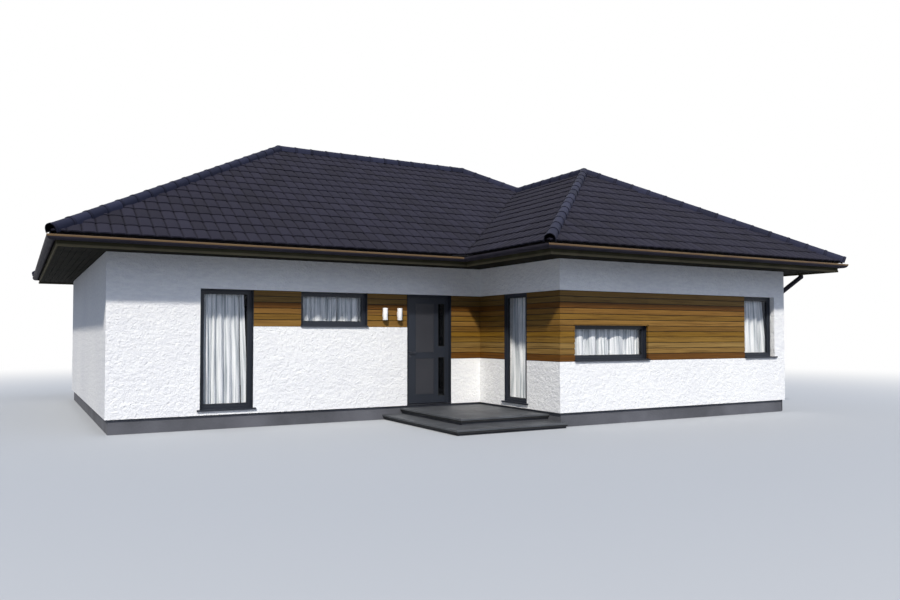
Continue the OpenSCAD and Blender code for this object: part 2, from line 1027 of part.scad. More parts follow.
module step_upper() {
    color("#55565a")
        place()
            step_slab_at(upper_step_place, upper_step_depth, upper_step_drop, step_slab, 0);
}

module step_lower() {
    color("#55565a")
        place()
            step_slab_at(lower_step_place, lower_step_depth, lower_step_drop, step_slab, 0);
}

module step_base() {
    upper_foot = upper_step_drop + step_slab;
    lower_foot = lower_step_drop + step_slab;
    color("#3b3c40")
        place() {
            step_slab_at(
                upper_step_place,
                upper_step_depth,
                upper_foot,
                lower_step_drop - upper_foot,
                step_nosing
            );
            step_slab_at(
                lower_step_place,
                lower_step_depth,
                lower_foot,
                foundation_height - lower_foot,
                step_nosing
            );
        }
}

// Two upright cylinders, each on a bracket from the boarding
module wall_lights() {
    middle = board_face - light_standoff - light_radius;
    height = head_height - light_drop;
    near_light = door_place - light_gap;
    color("#f5f5f5")
        place()
            for (x = [near_light, near_light - light_spacing]) {
                translate([x, middle, height - light_length / 2])
                    cylinder(h = light_length, r = light_radius);
                translate([x - light_bracket / 2, middle, height - light_bracket])
                    cube([light_bracket, board_face - middle, 2 * light_bracket]);
            }
}

foundation_main();
foundation_wing();
floor_main();
floor_wing();
front_wall_left();
front_wall_over_door();
front_wall_right();
wing_side_wall();
wing_front_wall();
right_wall();
back_wall();
left_wall();
ceiling_main();
ceiling_wing();
roof_front();
roof_wing_side();
roof_wing_front();
roof_right();
roof_back();
roof_left();
ridge_caps();
hip_caps();
fascia_boards();
soffit_boards();
gutters();
downpipes();
front_boarding();
wing_side_boarding();
wing_front_boarding();
window_frames();
window_glass();
window_sills();
curtain_rails();
curtains();
door_frame();
door_threshold();
door_leaf();
door_glass();
door_handle();
step_upper();
step_lower();
step_base();
wall_lights();
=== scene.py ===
import math
import random

import bmesh
import bpy
from mathutils import Matrix, Vector


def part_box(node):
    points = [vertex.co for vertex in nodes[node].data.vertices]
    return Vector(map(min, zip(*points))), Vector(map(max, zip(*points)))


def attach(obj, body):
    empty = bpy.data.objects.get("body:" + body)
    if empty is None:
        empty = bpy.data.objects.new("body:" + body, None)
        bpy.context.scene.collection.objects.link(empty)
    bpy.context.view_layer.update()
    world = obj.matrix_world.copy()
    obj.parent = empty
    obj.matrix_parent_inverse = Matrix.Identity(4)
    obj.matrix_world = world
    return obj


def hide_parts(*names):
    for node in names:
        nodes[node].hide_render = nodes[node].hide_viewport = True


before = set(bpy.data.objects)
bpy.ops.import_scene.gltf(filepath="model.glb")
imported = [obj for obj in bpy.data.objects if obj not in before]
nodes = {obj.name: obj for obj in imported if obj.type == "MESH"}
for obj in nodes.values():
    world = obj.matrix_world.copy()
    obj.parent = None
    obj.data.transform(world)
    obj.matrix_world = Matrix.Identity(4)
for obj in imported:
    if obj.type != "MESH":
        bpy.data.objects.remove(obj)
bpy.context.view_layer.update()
print("frame:", len(nodes), "nodes")

# The plan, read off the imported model. Corners run from the front left one along the front and round.
house = {
    "left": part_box("left_wall")[0].x, "right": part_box("right_wall")[1].x,
    "front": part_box("front_wall_left")[0].y, "wingFront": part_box("wing_front_wall")[0].y,
    "wingLeft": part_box("wing_front_wall")[0].x, "back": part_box("back_wall")[1].y,
    "floor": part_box("foundation_main")[1].z, "ridge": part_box("roof_front")[1].z,
    "overhang": 0.87, "pitch": math.radians(29.75), "soffit": 2.825, "fascia": 0.755, "head": 2.25,
}
corners = [Vector((house[x], house[y])) for x, y in (
    ("left", "front"), ("wingLeft", "front"), ("wingLeft", "wingFront"),
    ("right", "wingFront"), ("right", "back"), ("left", "back"),
)]
outward = [Vector(way) for way in ((-1, -1), (-1, -1), (-1, -1), (1, -1), (1, 1), (-1, 1))]
runs = [Vector(way) for way in ((1, 0), (0, -1), (1, 0), (0, 1), (-1, 0), (0, -1))]
front, wingSide, wingFront, right, back, left = range(6)


def corner(i, out=0.0):
    return corners[i % 6] + outward[i % 6] * out


def inward(i):
    return Vector((-runs[i].y, runs[i].x))


def axes(x, y, z, origin):  # a matrix from three axes and an origin
    return Matrix([[x[k], y[k], z[k], origin[k]] for k in range(3)] + [[0, 0, 0, 1]])


def wallPlace(i):  # x along the wall, y into the house, z up from the floor
    foot = corner(i).to_3d() + Vector((0, 0, house["floor"]))
    return axes(runs[i].to_3d(), inward(i).to_3d(), Vector((0, 0, 1)), foot)


def linear(code):  # sRGB hex to linear, with alpha 1
    parts = [int(code[i:i + 2], 16) / 255 for i in (1, 3, 5)]
    return [p / 12.92 if p <= 0.04045 else ((p + 0.055) / 1.055) ** 2.4 for p in parts] + [1.0]


def setInputs(node, inputs):  # an input is given a value, a socket, or a node for its first output
    for socket, given in inputs.items():
        if isinstance(given, bpy.types.Node):
            given = given.outputs[0]
        if isinstance(given, bpy.types.NodeSocket):
            node.id_data.links.new(given, node.inputs[socket])
        else:
            node.inputs[socket].default_value = given


def addNode(tree, kind, inputs=None, shades=(), **settings):
    # A shader node, unless its kind says another sort. Shades are a ramp's stops, as (place, hex).
    node = tree.nodes.new(kind if "Node" in kind else "ShaderNode" + kind)
    for name, value in settings.items():
        setattr(node, name, value)
    for _ in shades[2:]:
        node.color_ramp.elements.new(0.5)
    for k, (place, code) in enumerate(shades):
        stop = node.color_ramp.elements[k]
        stop.position, stop.color = place, linear(code)
    setInputs(node, inputs or {})
    return node


materials = {}


def newMaterial(name, colour, sockets):
    material = materials[name] = bpy.data.materials.new(name)
    material.use_nodes = True
    shader = material.node_tree.nodes["Principled BSDF"]
    setInputs(shader, {"Base Color": linear(colour), **sockets})
    return material.node_tree, shader


def mean(tree, first, second):
    both = addNode(tree, "Math", {0: first, 1: second}, operation="ADD")
    return addNode(tree, "Math", {0: both, 1: 0.5}, operation="MULTIPLY")


patchSize = 0.6  # in metres, about what a noise of scale 1 gives


def relief(tree, shader, vector, layers):  # layers is a list of (grain in metres, height in metres)
    below = {}
    for grain, height in layers:
        noise = addNode(tree, "TexNoise", {"Scale": patchSize / grain, "Detail": 3.0, "Vector": vector})
        below = {"Strength": 1.0, "Distance": height, "Height": noise, **below}
        below = {"Normal": addNode(tree, "Bump", below)}
    setInputs(shader, below)


# For each finish: two shades, the size of its patches, the relief's grains and heights, its roughness,
# then other sockets, and the length and height of its streaks. All in metres.
finishes = {
    # Silicone render floated with a 3 mm grain: chalky, no gloss, with short level streaks of painted shade
    # for the ripples of its relief
    "whiteRender": (("#e9e9ea", "#f6f6f4"), 1.4, [(0.04, 0.02), (0.018, 0.013)], 0.92, {}, (0.09, 0.03)),
    # Mosaic plinth render: darker and rougher
    "plinthRender": (("#4d4e53", "#626369"), 0.5, [(0.02, 0.004)], 0.9),
    # Emulsion on plaster: even and matt
    "ceilingPlaster": (("#ecebe8", "#f2f1ee"), 1.2, [(0.03, 0.0008)], 0.85),
    # Polyester powder coat on aluminium: satin with a fine orange peel, drawn 6 mm coarse
    "powderCoat": (("#22262d", "#292d36"), 0.8, [(0.006, 0.00025)], 0.42, {"Specular IOR Level": 0.25}),
    # The same coat on the door leaf, a little bluer all over: a painted reflection of the sky it faces
    "doorCoat": (("#23272f", "#2a2f39"), 1.1, [(0.006, 0.0002)], 0.4, {"Specular IOR Level": 0.3}),
    # Textured coat on the door's infill panels: rougher, so paler in light
    "panelCoat": (("#27282e", "#2f3036"), 0.5, [(0.004, 0.0004)], 0.55),
    # Coated steel gutter, nearly black: satin, dulled by rain
    "gutterSteel": (("#302e35", "#3b3840"), 0.35, [(0.01, 0.0003)], 0.6, {"Specular IOR Level": 0.03}),
    # Painted highlight: a bronze colour on the gutter's rolled edge, for the warm sunlit line along the
    # eaves
    "bronzeCoat": (("#5e4a36", "#6c583c"), 0.3, [(0.01, 0.0003)], 0.5, {"Specular IOR Level": 0.2}),
    # Planed spruce with a dark olive-brown stain
    "fasciaStain": (("#3b3929", "#4b4835"), 0.3, [(0.008, 0.0006)], 0.8, {"Specular IOR Level": 0.08}),
    # The same stain, paler, on the drip strip
    "wornStain": (("#5d5643", "#69614b"), 0.3, [(0.008, 0.0004)], 0.8, {"Specular IOR Level": 0.08}),
    # Planed spruce boards with a grey-brown stain, dull under the eaves
    "soffitStain": (("#191811", "#23211a"), 0.25, [(0.008, 0.0006)], 0.85, {"Specular IOR Level": 0.05}),
    # Roof battens and deck, in the dark under the tiles
    "roofDeck": (("#1d1a18", "#292420"), 0.3, [(0.02, 0.001)], 0.9),
    # Folded lead-grey aluminium under the cut tiles of the valley: dull, with soft dents
    "valleyMetal": (("#2c2c31", "#37373d"), 0.4, [(0.02, 0.0005)], 0.45, {"Metallic": 0.6}),
    # Honed basalt slabs: dark grey with paler wear, faint cloudy stone figure
    "basaltSlab": (("#3f4145", "#505357"), 0.22, [(0.03, 0.0012), (0.005, 0.0005)], 0.55),
    # Cast concrete of the step's core, in shadow
    "stepConcrete": (("#36373b", "#434449"), 0.3, [(0.02, 0.002)], 0.9),
    # Satin anodised aluminium rail: pale and softly bright
    "railMetal": (("#cfcfcb", "#dadad6"), 0.3, [(0.004, 0.0001)], 0.35, {"Metallic": 0.7}),
    # Brushed stainless steel with a dark finish: sharper lights than the coats round it
    "handleSteel": (("#3f4147", "#4d4f56"), 0.05, [(0.002, 0.0001)], 0.28, {"Metallic": 0.85}),
    # White powder coat on cast aluminium: even, with a soft shine
    "lampCoat": (("#f2f2f0", "#f8f8f6"), 0.2, [(0.004, 0.0001)], 0.4),
    # Butyl seal and rubber gasket: black and dull
    "gasketRubber": (("#101113", "#191a1d"), 0.1, [(0.004, 0.0002)], 0.7),
}


def patchy(name, shades, patch, layers, roughness, others=None, streak=None):
    tree, shader = newMaterial(name, shades[1], {"Roughness": roughness, **(others or {})})
    place = addNode(tree, "TexCoord").outputs["Object"]
    factor = addNode(tree, "TexNoise", {"Scale": patchSize / patch, "Detail": 5.0, "Vector": place})
    stops = (0.35, 0.65)
    # Level streaks in the colour: painted shade for the ripples of the relief
    if streak:
        length, height = streak
        size = (patchSize / length, patchSize / length, patchSize / height)
        stretched = addNode(tree, "Mapping", {"Scale": size, "Vector": place})
        streaks = addNode(tree, "TexNoise", {"Scale": 1.0, "Detail": 2.0, "Vector": stretched})
        factor = mean(tree, factor, streaks)
        stops = (0.37, 0.62)
    ramp = addNode(tree, "ValToRGB", {"Fac": factor}, list(zip(stops, shades)))
    setInputs(shader, {"Base Color": ramp})
    relief(tree, shader, place, layers)


for name, finish in finishes.items():
    patchy(name, *finish)


def tileMaterial(name, shades, roughness):
    # Through-coloured concrete tile with an acrylic coat: matt, each a shade of its own, soil and painted
    # shade in the joints
    tree, shader = newMaterial(name, shades[1], {"Roughness": roughness, "Specular IOR Level": 0.04})
    place = addNode(tree, "TexCoord").outputs["Object"]
    tone = addNode(tree, "Attribute", attribute_name="tone").outputs["Fac"]
    clouds = addNode(tree, "TexNoise", {"Scale": 0.7, "Detail": 4.0, "Vector": place})
    stops = list(zip((0.2, 0.5, 0.8), shades))
    shade = addNode(tree, "ValToRGB", {"Fac": mean(tree, tone, clouds)}, stops)
    # Soil and painted shade: the joints are mixed towards a near black
    soilAndShade = addNode(tree, "Attribute", attribute_name="joint").outputs["Fac"]
    soiledAndShaded = addNode(tree, "Mix", {0: soilAndShade, 6: shade, 7: linear("#0e0d12")}, data_type="RGBA")
    setInputs(shader, {"Base Color": soiledAndShaded.outputs[2]})
    relief(tree, shader, place, [(0.012, 0.0012), (0.004, 0.0005)])


tileMaterial("concreteTile", ["#28272f", "#2b2a34", "#2f2e39"], 0.7)
tileMaterial("concreteCap", ["#262836", "#2c2e3f", "#333547"], 0.6)


def boardMaterial():
    # Oiled larch boards: golden to red-brown, long dark grain along each board, hardly any shine
    tree, shader = newMaterial("oiledLarch", "#8f6228", {"Roughness": 0.6, "Specular IOR Level": 0.18})
    place = addNode(tree, "TexCoord").outputs["Object"]
    tint = addNode(tree, "Attribute", attribute_name="tint").outputs["Color"]
    stretched = addNode(tree, "Mapping", {"Scale": (1.3, 1.3, 42.0), "Vector": place})
    grain = addNode(tree, "TexNoise", {"Scale": 1.0, "Detail": 6.0, "Distortion": 0.6, "Vector": stretched})
    stops = [(0.3, "#a89c90"), (0.5, "#e4ded4"), (0.72, "#ffffff")]
    streak = addNode(tree, "ValToRGB", {"Fac": grain}, stops)
    coloured = addNode(tree, "Mix", {0: 0.85, 6: tint, 7: streak}, data_type="RGBA", blend_type="MULTIPLY")
    bump = addNode(tree, "Bump", {"Strength": 0.6, "Distance": 0.002, "Height": grain})
    setInputs(shader, {"Base Color": coloured.outputs[2], "Normal": bump})


def floorMaterial():
    # Oak boards, 140 mm wide, seen through the windows: warm and satin
    tree, shader = newMaterial("oakBoards", "#9c7a52", {"Roughness": 0.45})
    place = addNode(tree, "TexCoord").outputs["Object"]
    boards = addNode(tree, "TexBrick", {
        "Color1": linear("#a07c52"), "Color2": linear("#8c6a44"), "Mortar": linear("#4a3826"),
        "Scale": 1.0, "Mortar Size": 0.003, "Brick Width": 1.8, "Row Height": 0.14, "Vector": place,
    })
    setInputs(shader, {"Base Color": boards})
    relief(tree, shader, place, [(0.02, 0.0005)])


def glassMaterial(name, colour, alpha):
    # Float glass: mirror-smooth, faintly wavy; clear in the windows, nearly black in the door
    sockets = {"Roughness": 0.02, "Alpha": alpha, "Specular IOR Level": 0.8}
    tree, shader = newMaterial(name, colour, sockets)
    relief(tree, shader, addNode(tree, "TexCoord").outputs["Object"], [(0.5, 0.0004)])


def voileMaterial():
    # Woven polyester voile: soft white, with greyer streaks of painted shade for its folds and for the dark
    # room seen through one layer
    tree, shader = newMaterial("polyesterVoile", "#f5f7f9", {"Roughness": 0.9, "Sheen Weight": 0.2})
    cloth = addNode(tree, "UVMap", uv_map="cloth")
    weave = addNode(tree, "TexWave", {"Scale": 60.0, "Distortion": 0.5, "Vector": cloth})
    hanging = addNode(tree, "Mapping", {"Scale": (22.0, 0.7, 1.0), "Vector": cloth})
    folds = addNode(tree, "TexNoise", {"Scale": 1.0, "Detail": 3.0, "Vector": hanging})
    # Grey streaks of painted shade down the cloth
    stops = [(0.36, "#a9b0b5"), (0.5, "#e6e9ea"), (0.6, "#fbfcfc")]
    streakShade = addNode(tree, "ValToRGB", {"Fac": folds}, stops)
    height = weave.outputs["Fac"]
    bump = addNode(tree, "Bump", {"Strength": 0.2, "Distance": 0.001, "Height": height})
    setInputs(shader, {"Base Color": streakShade, "Normal": bump})


boardMaterial()
floorMaterial()
glassMaterial("windowGlass", "#2a3138", 0.04)
glassMaterial("tintedGlass", "#050608", 0.97)
voileMaterial()
print("materials:", len(materials))

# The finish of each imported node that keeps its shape
nodeFinish = {
    "whiteRender": [
        "front_wall_left", "front_wall_over_door", "front_wall_right", "wing_side_wall", "wing_front_wall",
        "right_wall", "back_wall", "left_wall"],
    "plinthRender": ["foundation_main", "foundation_wing"],
    "oakBoards": ["floor_main", "floor_wing"],
    "ceilingPlaster": ["ceiling_main", "ceiling_wing"],
    "fasciaStain": ["fascia_boards"],
    "gutterSteel": ["gutters", "downpipes"],
    "powderCoat": ["window_sills", "door_frame"],
    "railMetal": ["curtain_rails"],
    "doorCoat": ["door_leaf"],
    "tintedGlass": ["door_glass"],
    "handleSteel": ["door_handle", "door_threshold"],
    "stepConcrete": ["step_base"],
}
for finish, names in nodeFinish.items():
    for name in names:
        mesh = nodes[name].data
        mesh.materials.clear()
        mesh.materials.append(materials[finish])


def newObject(name, data):
    thing = bpy.data.objects.new(name, data)
    bpy.context.collection.objects.link(thing)
    return thing


def newMesh(name, points, faces):
    mesh = bpy.data.meshes.new(name)
    mesh.from_pydata(points, [], faces)
    mesh.update()
    return mesh


def solid(name, points, faces):  # a mesh of closed shells, faces turned outwards
    mesh = newMesh(name, points, faces)
    shape = bmesh.new()
    shape.from_mesh(mesh)
    bmesh.ops.recalc_face_normals(shape, faces=shape.faces[:])
    shape.to_mesh(mesh)
    shape.free()
    return mesh


def smooth(mesh, angle=None):  # edges sharper than the angle stay sharp
    mesh.polygons.foreach_set("use_smooth", [True] * len(mesh.polygons))
    if angle:
        mesh.set_sharp_from_angle(angle=math.radians(angle))
    return mesh


def loft(rings, capped=True, looped=False, closed=True):  # faces between rings of as many points each
    count, n = len(rings), len(rings[0])
    faces = []
    for r in range(count if looped else count - 1):
        here, there = r * n, (r + 1) % count * n
        for k in range(n if closed else n - 1):
            after = (k + 1) % n
            faces.append((here + k, here + after, there + after, there + k))
    if capped:
        faces += [tuple(range(n - 1, -1, -1)), tuple(range(count * n - n, count * n))]
    return [p for ring in rings for p in ring], faces


def joined(parts):  # several (points, faces) as one
    points, faces = [], []
    for morePoints, moreFaces in parts:
        shift = len(points)
        points += morePoints
        faces += [tuple(k + shift for k in face) for face in moreFaces]
    return points, faces


def circle(radius, sides):
    turns = [k * math.tau / sides for k in range(sides)]
    return [(radius * math.cos(turn), radius * math.sin(turn)) for turn in turns]


def onWall(wall, name, points, faces):  # a solid whose points are in a wall's axes
    mesh = solid(name, points, faces)
    mesh.transform(wallPlace(wall))
    return mesh


def addPiece(name, meshes, finish, body="house", replaces=()):
    parts = [newObject(name, mesh) for mesh in meshes]
    if len(parts) > 1:
        with bpy.context.temp_override(active_object=parts[0], selected_editable_objects=parts):
            bpy.ops.object.join()
    piece = parts[0]
    if finish:
        piece.data.materials.clear()
        piece.data.materials.append(materials[finish])
    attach(piece, body)
    if replaces:
        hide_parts(*replaces)
    return piece


def cutMesh(mesh, planes):  # planes is a list of (point, normal); what lies on the normal's side goes
    shape = bmesh.new()
    shape.from_mesh(mesh)
    for point, normal in planes:
        everything = shape.verts[:] + shape.edges[:] + shape.faces[:]
        bmesh.ops.bisect_plane(shape, geom=everything, plane_co=point, plane_no=normal, clear_outer=True)
    shape.to_mesh(mesh)
    shape.free()


def repeatTree():  # a shape repeated on a grid, each copy a little off its place, with a tone of its own
    tree = bpy.data.node_groups.new("repeatOnGrid", "GeometryNodeTree")
    for name, kind in (
        ("Shape", "Object"), ("Finish", "Material"), ("Columns", "Int"), ("Rows", "Int"), ("Seed", "Int"),
        ("Column Step", "Float"), ("Row Step", "Float"), ("Lift", "Float"), ("Tilt", "Float"),
    ):
        tree.interface.new_socket(name, in_out="INPUT", socket_type="NodeSocket" + kind)
    tree.interface.new_socket("Geometry", in_out="OUTPUT", socket_type="NodeSocketGeometry")
    given = tree.nodes.new("NodeGroupInput").outputs
    columns, seed, tilt = given["Columns"], given["Seed"], given["Tilt"]
    index = addNode(tree, "GeometryNodeInputIndex")
    count = addNode(tree, "Math", {0: columns, 1: given["Rows"]}, operation="MULTIPLY")
    column = addNode(tree, "Math", {0: index, 1: columns}, operation="MODULO")
    share = addNode(tree, "Math", {0: index, 1: columns}, operation="DIVIDE")
    row = addNode(tree, "Math", {0: share}, operation="FLOOR")
    x = addNode(tree, "Math", {0: column, 1: given["Column Step"]}, operation="MULTIPLY")
    y = addNode(tree, "Math", {0: row, 1: given["Row Step"]}, operation="MULTIPLY")
    lift = addNode(tree, "FunctionNodeRandomValue", {2: 0.0, 3: given["Lift"], 8: seed}, data_type="FLOAT")
    place = addNode(tree, "CombineXYZ", {0: x, 1: y, 2: lift.outputs[1]})
    points = addNode(tree, "GeometryNodePoints", {"Count": count, "Position": place})
    low = addNode(tree, "Math", {0: tilt, 1: -1.0}, operation="MULTIPLY")
    turn = addNode(tree, "FunctionNodeRandomValue", {0: low, 1: tilt, 8: seed}, data_type="FLOAT_VECTOR")
    shape = addNode(tree, "GeometryNodeObjectInfo", {"Object": given["Shape"]}).outputs["Geometry"]
    placed = {"Points": points, "Instance": shape, "Rotation": turn}
    copies = addNode(tree, "GeometryNodeInstanceOnPoints", placed)
    tone = addNode(tree, "FunctionNodeRandomValue", {2: 0.0, 3: 1.0, 8: seed}, data_type="FLOAT")
    stored = {"Geometry": copies, "Name": "tone", "Value": tone.outputs[1]}
    toned = addNode(tree, "GeometryNodeStoreNamedAttribute", stored, data_type="FLOAT", domain="INSTANCE")
    real = addNode(tree, "GeometryNodeRealizeInstances", {"Geometry": toned})
    finished = addNode(tree, "GeometryNodeSetMaterial", {"Geometry": real, "Material": given["Finish"]})
    addNode(tree, "NodeGroupOutput", {0: finished})
    return tree


grid = repeatTree()
gridSockets = {item.name: item.identifier for item in grid.interface.items_tree if item.in_out == "INPUT"}


def repeated(name, shape, finish, values):  # runs the tree and gives back a plain mesh
    shapeObject = newObject(name + "Shape", shape)
    carrier = newObject(name, bpy.data.meshes.new(name))
    modifier = carrier.modifiers.new("repeat", "NODES")
    modifier.node_group = grid
    settings = {
        "Columns": 1, "Column Step": 1.0, "Lift": 0.0, "Shape": shapeObject, "Finish": materials[finish],
        **values,
    }
    for key, value in settings.items():
        modifier[gridSockets[key]] = value
    graph = bpy.context.evaluated_depsgraph_get()
    mesh = bpy.data.meshes.new_from_object(
        carrier.evaluated_get(graph), preserve_all_data_layers=True, depsgraph=graph
    )
    bpy.data.objects.remove(carrier)
    bpy.data.objects.remove(shapeObject)
    return mesh


# Wavy interlocking tiles, laid in straight courses. Sizes measured on the slopes with the solved camera.
# "across" holds the shares of the width where a tile has points; the next entries say how dark some of them
# are, soil and painted shade in the side joints.
tiles = {
    "width": 0.2175, "gauge": 0.385, "overlap": 0.004, "wave": 0.018, "waveEnds": 4, "step": 0.02,
    "nose": 0.014, "noseDrop": 0.005, "foot": 0.006, "lip": 0.004, "edge": 0.004,
    "across": [0, 0.05, 0.13, 0.26, 0.42, 0.58, 0.74, 0.87, 0.96, 1],
    "soilAndShade": {0: 0.8, 0.05: 0.35, 0.96: 0.3, 1: 0.8}, "edgeSoilAndShade": 1.0,
    "sink": 0.024, "lift": 0.0025, "tilt": 0.005, "valleyGap": 0.006, "seed": 11,
}
deck = {"below": 0.012, "thickness": 0.02, "inset": 0.05}  # under the tiles
tray = {"top": 0.008, "foot": 0.011, "width": 0.3}  # metal under the valley's cut tiles
slopeRise = Vector((math.cos(house["pitch"]), math.sin(house["pitch"])))
halfDepth = (house["back"] - house["front"]) / 2
halfWing = (house["right"] - house["wingLeft"]) / 2
eavesTop = house["ridge"] - (halfDepth + house["overhang"]) * math.tan(house["pitch"])
ridgeLeft = Vector((house["left"] + halfDepth, house["front"] + halfDepth))
ridgeRight = Vector((house["right"] - halfDepth, house["front"] + halfDepth))
saddle = Vector((house["wingLeft"] + halfWing, house["front"] + halfWing))
apex = Vector((house["wingLeft"] + halfWing, house["wingFront"] + halfWing))


def eaves(i):
    return corner(i, house["overhang"])


def tileShape():
    rings = []
    # Foot of the front face, its top, the end of the rounded nose, and the back
    for y, lift in (
        (0, -tiles["foot"]), (0, tiles["step"] - tiles["noseDrop"]), (tiles["nose"], tiles["step"]),
        (tiles["gauge"] + tiles["overlap"], 0),
    ):
        ring = []
        for share in tiles["across"]:
            wave = tiles["wave"] * (1 - abs(2 * share - 1) ** tiles["waveEnds"])
            ring.append((share * tiles["width"], y, wave + lift + tiles["lip"] * share))
        rings.append(ring + [(tiles["width"], y, lift - tiles["edge"])])
    mesh = newMesh("tileShape", *loft(rings, capped=False, closed=False))
    frontFaces = len(tiles["across"])
    mesh.polygons.foreach_set("use_smooth", [face.index >= frontFaces for face in mesh.polygons])
    # How dark each point is: soil and painted shade in the side joints
    soilAndShade = [tiles["soilAndShade"].get(share, 0.0) for share in tiles["across"]] + [tiles["edgeSoilAndShade"]]
    mesh.attributes.new("joint", "FLOAT", "POINT").data.foreach_set("value", soilAndShade * len(rings))
    return mesh


def slopePlace(i):  # x along the eaves, y up the slope, z out of it
    along = runs[i].to_3d()
    up = Vector((-along.y * slopeRise.x, along.x * slopeRise.x, slopeRise.y))
    foot = eaves(i)
    return axes(along, up, along.cross(up), Vector((foot.x, foot.y, eavesTop)))


def slopeSlab(name, i, outline, above, below, finish):  # a flat layer that follows a slope, by its heights
    rings = []
    for offset in (above, below):
        ring = []
        for p in outline:
            z = eavesTop + (p - eaves(i)).dot(inward(i)) * math.tan(house["pitch"])
            ring.append((p.x, p.y, z + offset / slopeRise.x))
        rings.append(ring)
    mesh = solid(name, *loft(rings))
    mesh.materials.append(materials[finish])
    return mesh


def tiledSlope(name, i, outline, valleys):
    # outline is the slope's plan, convex, counted round from the eaves; valleys are edges cut back
    along = [(p - eaves(i)).dot(runs[i]) for p in outline]
    depth = max((p - eaves(i)).dot(inward(i)) for p in outline)
    first = math.floor(min(along) / tiles["width"])
    mesh = repeated(name, tileShape(), "concreteTile", {
        "Columns": math.ceil(max(along) / tiles["width"]) - first,
        "Rows": math.ceil(depth / slopeRise.x / tiles["gauge"]),
        "Column Step": tiles["width"], "Row Step": tiles["gauge"],
        "Lift": tiles["lift"], "Tilt": tiles["tilt"], "Seed": tiles["seed"] + i,
    })
    mesh.transform(slopePlace(i) @ Matrix.Translation((first * tiles["width"], 0, -tiles["sink"])))
    planes = []
    for k in range(1, len(outline)):
        a, b = outline[k], outline[(k + 1) % len(outline)]
        away = Vector(((b - a).y, -(b - a).x, 0)).normalized()
        planes.append((a.to_3d() - away * (tiles["valleyGap"] if k in valleys else 0), away))
    cutMesh(mesh, planes)
    top = -tiles["sink"] - deck["below"]
    slab = slopeSlab(name + "Deck", i, outline, top, top - deck["thickness"], "roofDeck")
    edge = corner(i, house["overhang"] - deck["inset"]).to_3d()
    cutMesh(slab, [(edge, -inward(i).to_3d())])
    return [mesh, slab]


rightOfSaddle = Vector((eaves(3).x, saddle.y))
for name, node, i, outlines, valleys in (
    ("tilesFront", "roof_front", front, [[eaves(0), eaves(1), saddle, ridgeRight, ridgeLeft]], (1,)),
    ("tilesWingSide", "roof_wing_side", wingSide, [[eaves(1), eaves(2), apex, saddle]], (3,)),
    ("tilesWingFront", "roof_wing_front", wingFront, [[eaves(2), eaves(3), apex]], ()),
    ("tilesRight", "roof_right", right, [
        [eaves(3), rightOfSaddle, saddle, apex], [rightOfSaddle, eaves(4), ridgeRight, saddle],
    ], ()),
    ("tilesBack", "roof_back", back, [[eaves(4), eaves(5), ridgeLeft, ridgeRight]], ()),
    ("tilesLeft", "roof_left", left, [[eaves(5), eaves(0), ridgeLeft]], ()),
):
    meshes = []
    for k, outline in enumerate(outlines):
        meshes += tiledSlope(name + str(k), i, outline, valleys)
    addPiece(name, meshes, None, replaces=[node])
trays = []
for i, a, b, aside in (
    (front, eaves(1), saddle, Vector((tray["width"], 0))),
    (wingSide, saddle, eaves(1), Vector((0, tray["width"]))),
):
    above, below = -tiles["sink"] - tray["top"], -tiles["sink"] - tray["foot"]
    trays.append(slopeSlab("valleyTray", i, [a, b, b - aside, a - aside], above, below, "valleyMetal"))
addPiece("valleyTray", trays, "valleyMetal")
print("roof: slopes")

# Half-round ridge tiles, each lapped over the next one down, with a collar at its foot; soil and a painted
# lap shadow darken its foot and above the collar
caps = {
    "pitch": 0.4, "lap": 0.05, "foot": 0.104, "top": 0.094, "wall": 0.012, "skirt": 0.05, "arc": 12,
    "collar": 0.04, "collarRise": 0.006, "collarRound": 0.006, "soilAndShadeEnd": 0.065, "soilAndShadeFall": 0.0004,
    "tilt": 0.004, "sharp": 40, "seed": 21,
    "knob": 0.112, "knobSink": 0.008, "knobArc": (-4, 90), "knobRings": 8, "knobSides": 24,
}


def capShape():
    length, foot, top, wall = caps["pitch"] + caps["lap"], caps["foot"], caps["top"], caps["wall"]
    body = foot - caps["collarRise"]
    rings, soilAndShade = [], []
    # The last value is how dark each ring is: soil and painted shadow of the lap
    for y, radius, soiledAndShaded in (
        (length, top - wall, 0.0), (0.0, foot - wall, 1.0), (0.0, foot, 0.5), (caps["collar"], foot, 0.1),
        (caps["collar"] + caps["collarRound"], body, 0.75), (caps["soilAndShadeEnd"], body - caps["soilAndShadeFall"], 0.0),
        (length, top, 0.0),
    ):
        ring = [(radius, y, -caps["skirt"])]
        for k in range(caps["arc"] + 1):
            angle = math.pi * k / caps["arc"]
            ring.append((radius * math.cos(angle), y, radius * math.sin(angle)))
        rings.append(ring + [(-radius, y, -caps["skirt"])])
        soilAndShade += [soiledAndShaded] * len(rings[-1])
    points, faces = loft(rings, capped=False, looped=True, closed=False)
    n = len(rings[0])
    for end in (0, n - 1):
        faces.append(tuple(r * n + end for r in range(len(rings))))
    mesh = solid("capShape", points, faces)
    mesh.attributes.new("joint", "FLOAT", "POINT").data.foreach_set("value", soilAndShade)
    return smooth(mesh, caps["sharp"])


def onTiles(point, inset):  # a plan point lifted to the slopes' meeting line
    z = eavesTop + (inset + house["overhang"]) * math.tan(house["pitch"])
    return Vector((point.x, point.y, z))


def capRun(name, a, b, seed):  # from the lower point up to the other
    way = b - a
    count = round(way.length / caps["pitch"])
    mesh = repeated(name, capShape(), "concreteCap", {
        "Rows": count, "Row Step": way.length / count, "Tilt": caps["tilt"], "Seed": seed,
    })
    up = way.normalized()
    side = up.cross(Vector((0, 0, 1))).normalized()
    mesh.transform(axes(side, up, side.cross(up), a))
    return mesh


